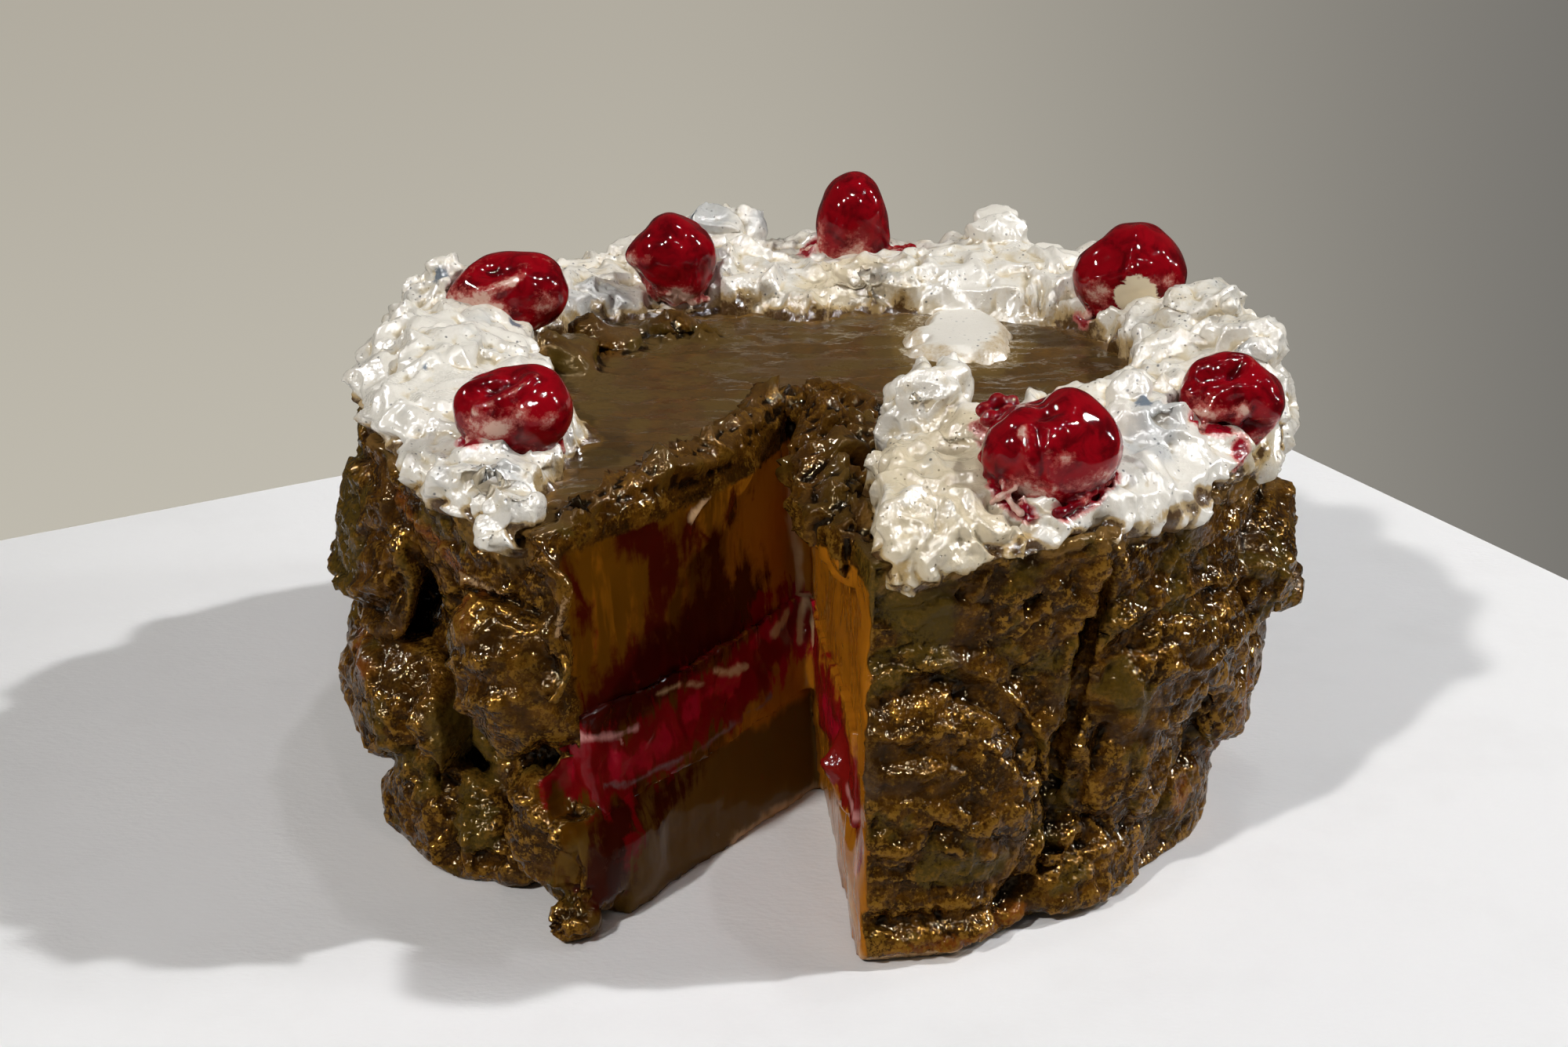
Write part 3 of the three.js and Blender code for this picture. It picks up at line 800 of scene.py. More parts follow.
@dataclass(frozen=True)
class BrownGlaze:
    """Dark umber crystal glaze of the body, with gold grains, olive pools and rusty patches, painted black shade in its
    hollows, and a lighter bronze top that is partly painted sheen.
    """

    umber: Colour = (0.028, 0.0110, 0.0018)
    brown: Colour = (0.082, 0.0310, 0.0030)
    # bronze: the top's olive-bronze glaze, made lighter as painted sheen in place of its reflection
    bronze_and_sheen: Colour = (0.112, 0.067, 0.027)
    gold: Colour = (0.225, 0.108, 0.014)
    purple_grey: Colour = (0.056, 0.030, 0.015)
    olive: Colour = (0.066, 0.041, 0.006)
    rust: Colour = (0.15, 0.040, 0.005)
    syrup: Colour = (0.060, 0.0210, 0.0010)
    # black: dark grit, and also the painted shade in the hollows
    black: Colour = (0.0030, 0.0016, 0.0009)
    tan: Colour = (0.40, 0.25, 0.12)
    halo: Colour = (0.20, 0.105, 0.026)
    milk: Colour = (0.62, 0.54, 0.40)
    tan_thin: Colour = (0.12, 0.075, 0.024)
    sheen: Colour = (1.0, 0.74, 0.42)  # tint of its reflections
    metal: float = 0.35  # how metallic the gold grains are
    ior: float = 1.20
    wall: WallGlaze = WallGlaze()

    def make(self) -> bpy.types.Material:
        """Builds the finish.

        Returns:
            The material.
        """
        r = Recipe("brown crystal glaze")
        wall, crust, deep, crest = (r.attribute(name) for name in ("wall", "crust", "deep", "crest"))
        grit = r.noise(0.6, 2.0, 0.6, seed=5)
        fine = r.noise(0.95, 3.0, 0.68, seed=1)
        gravel = r.noise(2.0, 1.0, 0.4, seed=2)
        blotch = r.noise(6.0, 4.0, 0.62, seed=3)
        broad = r.noise(17.0, 3.0, 0.6, seed=4)
        streak = r.noise(2.6, 3.0, 0.6, seed=7, stretch=(0.28, 0.9, 1.0), twist=0.7)
        wet = r.attribute("wet")
        grainy = (crust + 0.55 * blotch - 0.275).step(0.34, 0.62)
        colour = r.mix((blotch + 0.4 * streak - 0.2).step(0.40, 0.66), self.umber, self.brown)
        matte = (broad + 0.2 * fine).step(0.62, 0.74) * (1.0 - grainy) * (1.0 - wet)
        colour = r.mix(matte * 0.8, colour, self.purple_grey)
        green = (r.attribute("olive") + 0.9 * blotch + 0.4 * streak + 0.2 * fine - 0.65).step(0.34, 0.66)
        colour = r.mix(green * 0.85, colour, self.olive)
        rusty = (r.attribute("rust") + 0.7 * fine + 0.3 * streak - 0.5).step(0.36, 0.80)
        colour = r.mix(rusty * 0.85, colour, self.rust)
        # the top in bronze: its own glaze colour plus painted sheen
        colour = r.mix(r.attribute("top") * 0.55, colour, self.bronze_and_sheen)
        colour = r.mix(wet * 0.6, colour, self.syrup)
        broken = 0.40 * grit + 0.36 * fine + 0.22 * gravel + 0.10 * crest
        golden = broken.step(0.535, 0.640) * (0.15 + 0.75 * grainy) * (1.0 - 0.6 * green) * (1.0 - wall)
        colour = r.mix(broken.step(0.50, 0.41) * 0.6 * grainy, colour, self.black)
        colour = r.mix(golden, colour, self.gold)
        edge = r.attribute("halo") + 1.1 * blotch + 0.9 * fine - 1.0
        colour = r.mix(edge.step(0.35, 1.0) * 0.7, colour, self.halo)
        spread = r.attribute("milk") + 1.0 * blotch + 0.8 * fine - 0.9
        colour = r.mix(spread.step(0.18, 0.62) * 0.8, colour, self.tan_thin)
        colour = r.mix(spread.step(0.95, 1.4), colour, self.milk)
        colour = r.mix((r.attribute("pale") + 0.6 * fine - 0.3).step(0.42, 0.66), colour, self.tan)
        colour = self.wall.over(r, colour)
        # painted shade: black in the hollows, darker still in the wet curls
        colour = r.mix((deep + 0.3 * wet * deep).step(0.20, 0.95) * 0.92, colour, self.black)
        pebble = r.noise(1.0, 0.0, 0.4, seed=6)
        relief = grainy * (0.75 * gravel + 0.16 * pebble) + (1.0 - grainy) * (0.30 * gravel + 0.04 * pebble)
        relief = relief + 0.2 * streak
        relief = relief * (1.0 - 0.6 * wet) + wet * 0.4 * r.noise(2.3, 2.0, 0.5, seed=10, twist=0.9)
        relief = (1.0 - wall) * relief + 0.45 * r.noise(5.5, 1.0, 0.4, seed=8)
        relief = relief + wall * 0.22 * r.noise(3.2, 1.0, 0.4, seed=9, stretch=(1.0, 1.0, 0.3))
        rough = 0.12 + 0.20 * matte - 0.04 * wet
        constants = {"IOR": self.ior, "Specular_Tint": r.opaque(self.sheen)}
        return r.finish(colour, rough, relief, Metallic=golden * self.metal, **constants)


@dataclass(frozen=True)
class LayerGlaze:
    """Wet red glaze of the cherry layer."""

    red: Colour = (0.145, 0.0022, 0.006)
    ior: float = 1.22
    wall: WallGlaze = WallGlaze()

    def make(self) -> bpy.types.Material:
        """Builds the finish.

        Returns:
            The material.
        """
        r = Recipe("red layer glaze")
        fine = r.noise(1.2, 3.0, 0.6, seed=11)
        flow = r.noise(7.0, 4.0, 0.6, seed=12, twist=0.6)
        relief = 0.06 * fine + 0.45 * flow
        return r.finish(self.wall.over(r, self.red), 0.10 + 0.06 * fine, relief, IOR=self.ior)


@dataclass(frozen=True)
class CreamGlaze:
    """White glaze over smeared clay: specks, pinholes, grey-blue tints and brown-yellow thin edges, with painted shade
    in its hollows and beside the cherries.
    """

    white: Colour = (0.73, 0.69, 0.615)
    # warm: clay showing through, and warm painted shade in the hollows
    warm: Colour = (0.60, 0.50, 0.33)
    # grey: a random greyish tone, and painted shade beside the cherries
    grey: Colour = (0.43, 0.44, 0.44)
    yellow: Colour = (0.42, 0.28, 0.105)
    brown: Colour = (0.085, 0.040, 0.011)
    # crevice: painted shade in the deepest hollows
    crevice_shade: Colour = (0.25, 0.20, 0.13)
    speck: Colour = (0.050, 0.055, 0.065)
    blue: Colour = (0.10, 0.135, 0.18)
    red: Colour = (0.26, 0.002, 0.010)
    pink: Colour = (0.60, 0.18, 0.16)
    ior: float = 1.40

    def make(self) -> bpy.types.Material:
        """Builds the finish.

        Returns:
            The material.
        """
        r = Recipe("white cream glaze")
        thin, smear, deep = r.attribute("thin"), r.attribute("smear"), r.attribute("deep")
        fine = r.noise(0.8, 3.0, 0.65, seed=21)
        cloud = r.noise(4.0, 4.0, 0.62, seed=22, twist=0.4)
        broad = r.noise(13.0, 3.0, 0.55, seed=23)
        # beige: clay showing through at the listed spots and at random, and warm painted shade in the hollows
        beige = (cloud + 0.6 * deep + 0.25 * fine + 0.5 * r.attribute("beige") - 0.25 * smear).step(0.54, 0.94)
        colour = r.mix(beige * 0.85, self.white, self.warm)
        # painted shade: greyer at the spots beside the cherries, besides random greyish tone
        shade = broad + 0.3 * cloud + 0.45 * r.attribute("grey") - 0.12 * smear
        colour = r.mix(shade.step(0.68, 0.95) * 0.75, colour, self.grey)
        # painted shade: brownish grey in the deepest hollows
        colour = r.mix(deep.step(0.5, 1.0) * 0.55, colour, self.crevice_shade)
        specks = r.cells(2.4, seed=24).step(0.17, 0.07) * broad.step(0.42, 0.55)
        colour = r.mix(specks * 0.8, colour, self.speck)
        colour = r.mix((r.attribute("blue") + 0.8 * cloud + 0.4 * fine - 0.6).step(0.40, 0.75) * 0.9, colour, self.blue)
        edge = thin + 0.55 * cloud + 0.45 * fine - 0.5
        colour = r.mix(edge.step(0.22, 0.72) * 0.9, colour, self.yellow)
        colour = r.mix(edge.step(0.74, 1.02), colour, self.brown)
        blood = r.attribute("red") + 0.5 * fine + 0.3 * cloud - 0.4
        colour = r.mix(blood.step(0.16, 0.45) * 0.75, colour, self.pink)
        colour = r.mix(blood.step(0.42, 0.66), colour, self.red)
        holes = r.cells(1.7, seed=25).step(0.16, 0.05) * (1.0 - 0.8 * smear)
        colour = r.mix(holes * 0.5, colour, self.brown)
        knobs = r.noise(1.8, 2.0, seed=26) * r.noise(7.0, 2.0, seed=27).step(0.42, 0.62)
        relief = (1.0 - 0.8 * smear) * (0.10 * fine + 0.42 * knobs) + 0.04 * fine - 0.25 * holes
        rough = 0.12 + 0.10 * fine + 0.12 * smear
        return r.finish(colour, rough, relief, IOR=self.ior)


@dataclass(frozen=True)
class CherryGlaze:
    """High-gloss crimson glaze, worn to pink and bare clay where it is thin, and darker red in the hollows as painted
    shade.
    """

    # deep: darker red in random clouds, and painted shade in the hollows
    deep: Colour = (0.080, 0.0004, 0.0022)
    crimson: Colour = (0.25, 0.0013, 0.0055)
    pink: Colour = (0.42, 0.085, 0.070)
    pale: Colour = (0.62, 0.41, 0.33)
    clay: Colour = (0.74, 0.64, 0.46)
    ior: float = 1.27

    def make(self) -> bpy.types.Material:
        """Builds the finish.

        Returns:
            The material.
        """
        r = Recipe("crimson cherry glaze")
        worn, hollow = r.attribute("worn"), r.attribute("deep")
        fine = r.noise(0.8, 3.0, 0.7, seed=31)
        patch = r.noise(2.6, 3.0, 0.6, seed=33, stretch=(0.7, 0.7, 1.2), twist=0.6)
        cloud = r.noise(5.0, 4.0, 0.6, seed=32, twist=0.5)
        # painted shade: the hollows lean to the darker red
        colour = r.mix((cloud - 0.5 * hollow).step(0.30, 0.62), self.deep, self.crimson)
        rub = worn + 0.9 * patch + 0.8 * fine - 0.85
        colour = r.mix(rub.step(0.26, 0.60) * 0.8, colour, self.pink)
        colour = r.mix(rub.step(0.50, 0.85) * 0.9, colour, self.pale)
        bare = r.attribute("bare") + 0.7 * cloud + 0.5 * patch + 0.2 * fine - 0.7
        colour = r.mix(bare.step(0.44, 0.56), colour, self.clay)
        relief = 0.008 * fine + 0.06 * cloud
        return r.finish(colour, 0.055 + 0.05 * rub.step(0.5, 1.0), relief, IOR=self.ior)


@dataclass(frozen=True)
class PaleStand:
    """Matte white painted stand, darker towards -X as painted shade."""

    white: Colour = (0.80, 0.795, 0.80)
    worn: Colour = (0.70, 0.69, 0.69)
    shade: Colour = (0.62, 0.615, 0.61)
    roughness: float = 0.62
    ior: float = 1.15

    def make(self) -> bpy.types.Material:
        """Builds the finish.

        Returns:
            The material.
        """
        r = Recipe("pale stand")
        cloud = r.noise(35.0, 4.0, 0.6, seed=41)
        fibre = r.noise(0.9, 3.0, 0.6, seed=42, stretch=(0.5, 1.0, 1.0))
        colour = r.mix(cloud.step(0.45, 0.75) * 0.25, self.white, self.worn)
        # painted shade: the stand darkens towards -X
        shade_to_the_left = r.node("ShaderNodeSeparateXYZ", {}, {0: r.place}).step(-110.0, -260.0)
        colour = r.mix(shade_to_the_left * 0.7, colour, self.shade)
        relief = 0.12 * fibre + 0.3 * r.noise(12.0, 2.0, seed=43)
        return r.finish(colour, self.roughness, relief, IOR=self.ior)


# ------------------------------------------------------------------------------------ the cut walls


@dataclass(frozen=True)
class WallStains:
    """Where the glazes lie on the cut walls, as lines of (distance from the apex, height)."""

    red: tuple[Mark, ...] = (
        Mark(((-2, 38), (8, 39), (18, 36), (30, 33), (40, 34), (50, 31), (60, 30), (72, 34)), 8.0),
        Mark(((9, 46), (16, 45)), 3.0, 0.9),
        Mark(((62, 20), (66, 12)), 3.0, 0.7),
    )
    maroon: tuple[Mark, ...] = (
        Mark(((21, 48), (36, 47), (50, 45), (66, 42)), 8.5),
        Mark(((52, 76), (45, 66), (47, 54)), 4.5),
        Mark(((38, 68), (32, 60), (30, 52)), 4.5, 0.9),
        Mark(((22, 72), (31, 64)), 3.0, 0.9),
        Mark(((60, 24), (70, 16), (72, 10)), 6.0),
        Mark(((40, 20), (52, 18)), 4.0, 0.8),
        Mark(((24, 33), (44, 31)), 4.5, 0.62),
        Mark(((67, 74), (66, 60)), 2.6, 0.75),
    )
    bright: tuple[Mark, ...] = (
        Mark(((50, 31), (57, 29), (64, 31)), 3.6),
        Mark(((1, 43), (10, 41), (20, 40)), 2.0, 0.8),
        Mark(((28, 36), (42, 35)), 2.6, 0.7),
        Mark(((4, 33), (14, 30)), 2.6, 0.7),
    )
    tan: tuple[Mark, ...] = (
        Mark(((7, 41), (13, 39.5)), 1.3),
        Mark(((24, 36.5), (30, 37.5), (35, 40)), 1.0, 0.60),
        Mark(((38, 38), (45, 40.5), (50, 40.5)), 1.0, 0.5),
        Mark(((33, 75), (37, 72)), 1.0, 0.8),
        Mark(((69, 76), (73, 66), (70, 55)), 0.9, 0.75),
        Mark(((0, 0), (30, 0)), 2.0, 0.75),
        # painted highlight: a pale streak down the apex, in place of its reflection
        Mark(((-1, 74), (1, 60), (0, 45), (3, 34)), 1.0, 0.85),
    )
    pink: tuple[Mark, ...] = (
        Mark(((57, 36), (64, 37), (70, 39)), 1.2, 0.58),
        Mark(((60, 33), (63, 37)), 0.5, 0.7),
    )
    # painted sheen: a grey-mauve line along the lower edge of the red band
    mauve_sheen: tuple[Mark, ...] = (
        Mark(((16, 27), (40, 25), (60, 25.5), (67, 28)), 0.8, 0.6),
    )
    right_red: tuple[Mark, ...] = (
        Mark(((14, 33), (30, 31), (40, 34), (55, 33), (68, 31)), 8.6),
        Mark(((66, 26), (76, 20)), 2.6, 0.9),
    )
    right_bright: tuple[Mark, ...] = (Mark(((30, 32), (48, 33)), 4.0, 0.7),)
    right_pink: tuple[Mark, ...] = (Mark(((64, 28.5), (69, 26)), 1.6, 0.55), Mark(((70, 18), (76, 12)), 1.2, 0.7))
    right_tan: tuple[Mark, ...] = (Mark(((66, 12), (76, 2)), 2.2, 0.6), Mark(((0, 0), (30, 0)), 2.0, 0.75))

    def note(self, shell: Shell, left: Array, right: Array) -> None:
        """Keeps every glaze's share on the shell's points.

        Args:
            shell: the body or the layer.
            left: how much each point belongs to the left wall.
            right: how much each point belongs to the right wall.
        """
        points = shell.points
        height = points[:, 2]
        on_left = np.stack([LEFT_WALL.read(points)[0], height], 1)
        on_right = np.stack([RIGHT_WALL.read(points)[0], height], 1)
        waver = 2.4 * Uneven.fractal(points, (4.0, 4.0, 10.0), 3, 71)
        sides = {
            "red": (self.red, self.right_red),
            "maroon": (self.maroon, ()),
            "bright": (self.bright, self.right_bright),
            "tan": (self.tan, self.right_tan),
            "pink": (self.pink, self.right_pink),
            "mauve_sheen": (self.mauve_sheen, ()),
        }
        for name, (here, there) in sides.items():
            drift = waver if name in ("red", "maroon", "bright") else 0.25 * waver
            share = left * strongest(here, on_left, drift)
            shell.note(name, np.maximum(share, right * strongest(there, on_right, drift)))
        # light: where the walls are painted lighter, as lit
        shell.note("light", left * (1 - ease(on_left[:, 0], 8.0, 42.0)) + right * 0.9)
        shell.note("low", left * (1 - ease(height, 18.0, 26.0)))


# ------------------------------------------------------------------------------------ the body


@dataclass
class CakeBody:
    """The clumped brown body with its cut walls and streaked top."""

    stock: Stock = Stock("cake_body", 0.72, 194_000, 10)
    lump: float = 0.9  # height of the broad unevenness of the side
    plate: float = 0.7  # height of the pressed-on plates
    strata: float = 0.5  # height of the torn ledges that run round the side
    grain: float = 0.42  # height of the coarse crust
    chunk: tuple[tuple[float, float, float], ...] = ((2, -14, 82), (3, -50, 80), (6, -80, 74))
    chunk_reach: float = 16.0
    chunk_curls: tuple[float, float, float] = (5.0, 1.6, 3.0)  # height of broad and small curls, and their start
    lip: tuple[tuple[float, float, float], ...] = (
        (-7, -17, 82), (-13, -31, 82), (-19, -45, 82), (-33, -61, 82), (-44, -73, 81),
    )
    lip_reach: float = 8.5
    lip_curls: tuple[float, float] = (4.2, 1.3)  # height of the curls, and their start
    stroke: float = 0.45  # height of the strokes on the top
    ledges: tuple[Mark, ...] = along_side(
        (2.2, 2.4, True, (-85, 56), (-81, 57), (-76, 59), (-71, 55), (-67, 48), (-64, 41), (-63, 31)),
        (1.6, 1.5, True, (-88, 47), (-82, 46), (-76, 47), (-71, 41), (-68, 34), (-68, 27)),
        (1.4, 1.1, True, (-88, 40), (-80, 39), (-74, 38), (-71, 31), (-72, 25)),
        (1.4, 1.1, True, (-89, 33), (-80, 33), (-75, 30), (-73, 24)),
        (1.5, 1.4, True, (-90, 26), (-83, 25), (-76, 23), (-70, 19)),
        (1.3, 1.0, True, (-90, 19), (-82, 18), (-75, 16)),
        (1.4, 1.0, True, (-89, 13), (-80, 12), (-72, 10)),
        (1.8, 2.6, True, (-54, 64), (-57, 53), (-59, 40), (-56, 27), (-57, 18)),
        (2.4, 2.4, True, (-55, 62), (-48, 63), (-38, 61), (-30, 58), (-21, 56)),
        (1.1, 1.6, True, (-53, 51), (-52, 42), (-55, 32)),
        (1.6, 1.4, True, (-50, 50), (-44, 47), (-36, 49), (-28, 45)),
        (1.4, 1.2, True, (-49, 38), (-43, 33), (-45, 24), (-50, 20)),
        (1.6, 1.2, True, (-38, 40), (-32, 34), (-30, 24)),
        (2.2, 1.2, False, (-92, 4.5), (-76, 4), (-64, 3), (-50, 4)),
        (1.6, 2.2, True, (-136, 61), (-133, 66), (-126, 67.5), (-121, 66), (-118, 60)),
        (1.3, 1.9, True, (-137, 36), (-132, 41), (-126, 48), (-120, 49)),
        (1.2, 1.0, True, (-135, 47), (-130, 53), (-124, 56)),
        (1.3, 1.2, True, (-134, 32), (-127, 33), (-121, 41)),
        (1.6, 1.4, True, (-172, 70), (-165, 71), (-156, 69), (-150, 72)),
        (1.8, 2.0, False, (-171, 51), (-163, 49), (-155, 50), (-150, 56)),
        (1.6, 1.3, True, (-149, 38), (-156, 40), (-165, 38)),
        (1.5, 1.2, True, (-150, 22), (-144, 18), (-137, 20)),
        (1.5, 1.4, True, (-128, 24), (-122, 26), (-117, 20)),
        (1.5, 1.4, True, (-129, 12), (-122, 10), (-116, 11)),
    )
    grooves: tuple[Mark, ...] = along_side(
        (2.0, -1.6, False, (-59, 56), (-60.5, 46), (-62, 36), (-60, 20)),
        (1.9, -3.6, False, (-69, 5), (-66, 8), (-62, 13), (-57, 15)),
        (1.6, -3.0, False, (-65.5, 68), (-65.4, 68.2)),
        (1.3, -2.4, False, (-67, 53), (-66.9, 53.2)),
        (1.0, -1.6, False, (-74, 72), (-73.9, 72.2)),
        (1.8, -1.4, False, (-82, 53), (-76, 55), (-71, 50), (-67, 42), (-66, 34)),
        (1.4, -0.9, False, (-82, 42), (-76, 43), (-72, 36)),
        (1.4, -0.9, False, (-84, 29), (-77, 27), (-73, 22)),
        (2.4, -3.6, False, (-139, 58), (-143, 42), (-142, 25), (-137, 18), (-136, 2)),
        (1.8, -2.6, False, (-136, 29), (-128, 28), (-122, 34), (-118, 40)),
        (2.4, -3.0, False, (-170, 46), (-160, 45), (-152, 48), (-145, 58)),
        (2.0, -2.4, False, (-158, 18), (-151, 16), (-143, 23)),
        (1.6, -1.6, False, (-117, 33), (-115, 22), (-116, 8)),
        (1.5, -1.4, False, (-133, 6), (-124, 5), (-117, 6)),
        (1.8, -2.0, False, (-40, 38), (-35, 30), (-36, 20)),
        (1.3, -1.0, False, (-92, 9), (-76, 8), (-68, 8)),
    )
    clumps: tuple[Spot, ...] = (  # x, y, z and radius of curled clumps
        (-51, 27, 82, 4.5),
        (-57, 11, 84, 3.5),
        (-46, 22, 80, 3.5),
        (-31, 37, 81, 4.0),
        (-23.5, 35, 80, 3.0),
        (-50, -95, 4, 5.5),
        (-46, -92, 9, 4.0),
    )
    swells: tuple[Mark, ...] = along_side(
        (9.0, 2.6, False, (-130, 56), (-126, 42)),
        (8.0, 2.4, False, (-124, 22), (-122, 16)),
        (9.0, 1.6, False, (-152, 34), (-150, 28)),
        (8.0, 1.6, False, (-142, 12), (-141, 10)),
        (7.0, 1.4, False, (-48, 57), (-32, 54)),
        (3.4, 2.2, False, (-57, 86), (-58, 72), (-60.5, 56), (-62, 44)),
    )

    def regions(self, points: Array, normals: Array) -> dict[str, Array]:
        """How much each point belongs to each region of the body.

        Args:
            points: the points, N x 3.
            normals: their outward directions.

        Returns:
            A share of 0 to 1 for each point, by the name of the region.
        """
        left, right = LEFT_WALL.weight(points, normals), RIGHT_WALL.weight(points, normals)
        wall = np.maximum(left, right)
        radius = radius_of(points)
        outward = (normals[:, :2] * points[:, :2]).sum(1) / np.maximum(radius, 1.0)
        return {
            "left": left,
            "right": right,
            "wall": wall,
            "side": ease(outward, 0.1, 0.5) * ease(radius, 72.0, 80.0) * (1 - wall),
            "top": ease(normals[:, 2], 0.3, 0.7) * ease(points[:, 2], 72.0, 76.0),
            "chunk": hill(away_from_line(points, self.chunk) / self.chunk_reach) * ease(points[:, 2], 66.0, 72.0),
            "lip": hill(away_from_line(points, self.lip) / self.lip_reach),
        }

    def shape(self, shell: Shell) -> None:
        """Presses lumps, plates, ridges, grooves and crust into the plain body.

        Args:
            shell: the body.
        """
        points, at = shell.points, self.regions(shell.points, shell.normals)
        side, top, wall = at["side"], at["top"], at["wall"]
        clumps = spots(points, self.clumps)
        covered = ease(points[:, 2], 80.5, 83.5) * ease(radius_of(points), 87.0, 91.0)
        side = side * (1 - covered)
        warp = np.stack([Uneven.waves(points, 11.0, seed) for seed in (1, 2, 3)], 1)
        lumps = self.lump * Uneven.fractal(points, 19.0, 2, 4)
        near, next_near, value = Uneven.chips(points + 3.5 * warp, (15.0, 15.0, 9.0), 5)
        plates = self.plate * value - 0.8 * np.exp(-(((next_near - near) / 0.10) ** 2))
        torn = Uneven.crests(points + 4.5 * warp, (15.0, 15.0, 9.0), 6) ** 2
        torn += 0.5 * Uneven.crests(points + 2.0 * warp, (7.0, 7.0, 5.0), 7) ** 2
        strokes = Uneven.fractal(points + 2.0 * warp, (15.0, 4.0, 4.0), 3, 8)
        curls = Uneven.crests(points + 4.0 * warp, 8.0, 9) ** 2
        curls += 0.8 * Uneven.crests(points + 2.5 * warp, 4.0, 10) ** 2
        amount = side * (lumps + plates + self.strata * (torn - 0.45)) + top * self.stroke * strokes
        amount += wall * 0.5 * Uneven.waves(points, 10.0, 11)
        broad = Uneven.crests(points + 5.0 * warp, 13.0, 17) ** 2
        broad += 0.5 * Uneven.crests(points + 3.0 * warp, 6.5, 18) ** 2
        high, small, start = self.chunk_curls
        amount += at["chunk"] * (high * broad + small * curls - start) * (1 - 0.7 * wall)
        torn_lip = Uneven.crests(points + 4.0 * warp, 9.0, 19) ** 2
        torn_lip += 0.5 * Uneven.crests(points + 2.0 * warp, 4.5, 20) ** 2
        high, start = self.lip_curls
        amount += at["lip"] * (high * torn_lip - start) * (1 - 0.8 * wall)
        amount += clumps * np.where(points[:, 2] > 40.0, 1.4 + 2.4 * curls, 2.6 * curls - 2.4)

        around = np.stack(round_side(angle_of(points), points[:, 2]), 1)
        waver = 0.8 * Uneven.waves(points, 6.0, 12) + 0.4 * Uneven.waves(points, 2.6, 13)
        for mark in (*self.swells, *self.ledges, *self.grooves):
            amount += side * mark.height * mark.weight(around, waver)
        on_left = np.stack([LEFT_WALL.read(points)[0], points[:, 2]], 1)
        amount += at["left"] * strongest(WallStains().tan[:5], on_left, 0.5 * waver)
        foot = 1.0 - ease(points[:, 2], 0.2, 2.5)
        shell.push(amount * (1.0 - foot))

        points = shell.points
        crust = side * (0.3 + 0.7 * ease(Uneven.waves(points, 16.0, 14) + 0.3 * value, -0.45, 0.15))
        crust = np.clip(crust + clumps + 0.25 * at["chunk"] + 0.2 * at["lip"] + 0.15 * top, 0.0, 1.0) * (1 - 0.9 * wall)
        grains = Uneven.crests(points + warp, 3.6, 15) + 1.1 * Uneven.billows(points, 2.2, 16)
        shell.push(self.grain * crust * (grains - 0.8) * (1.0 - foot))
        under = shell.points[:, 2] < 0.35
        shell.points[under, 2] = 0.0

    def paint(self, shell: Shell, cream: BVHTree) -> None:
        """Notes where each glaze lies, and how hollow each place is for the painted shade.

        Args:
            shell: the shaped body.
            cream: the cream's surface, round which the brown glaze runs thin.
        """
        points, normals = shell.points, shell.average(shell.normals, 2)
        at = self.regions(points, normals)
        height = points[:, 2]
        around = np.stack(round_side(angle_of(points), height), 1)
        patches = Uneven.fractal(points, 13.0, 3, 21)
        fine_hollow, broad_hollow = shell.hollowness(5), shell.hollowness(28)
        beyond = ease(LEFT_WALL.read(points)[0], 67.0, 71.0) * ease(height, 34.0, 38.0)
        at["left"] = at["left"] * (1 - beyond)
        wall = np.maximum(at["left"], at["right"]) * ease(-height, -78.0, -71.0)
        shell.note("wall", wall)
        clumps = spots(points, self.clumps)
        wet = np.maximum.reduce([at["chunk"], at["lip"], clumps * (height > 40.0)]) * (1 - wall)
        shell.note("wet", wet)
        # deep: how hollow each place is, which the finish paints as shade
        deep = ease(broad_hollow, 0.5, 2.2) + 0.4 * ease(fine_hollow, 0.12, 0.5)
        deep += 0.9 * wet * ease(fine_hollow, 0.0, 0.2)
        shell.note("deep", deep * (1 - 0.85 * wall))
        shell.note("crest", ease(-fine_hollow, 0.0, 0.3))
        crusty = ease(Uneven.waves(points, 16.0, 14), -0.5, 0.1)
        over = 0.2 + 0.3 * at["chunk"] + 0.25 * at["lip"]
        shell.note("crust", np.where(height > 79.0, over, 0.42 + 0.58 * crusty) + 0.4 * clumps)
        # top: where the bronze glaze and its painted sheen lie
        shell.note("top", at["top"] * ease(height, 77.0, 79.0) * (1 - at["chunk"]) * (1 - clumps))

        def patch(stops: Iterable[tuple[float, float]], width: float) -> Array:
            """Weight of a patch along a line on the side."""
            return Mark(side_path(*stops), width).weight(around)

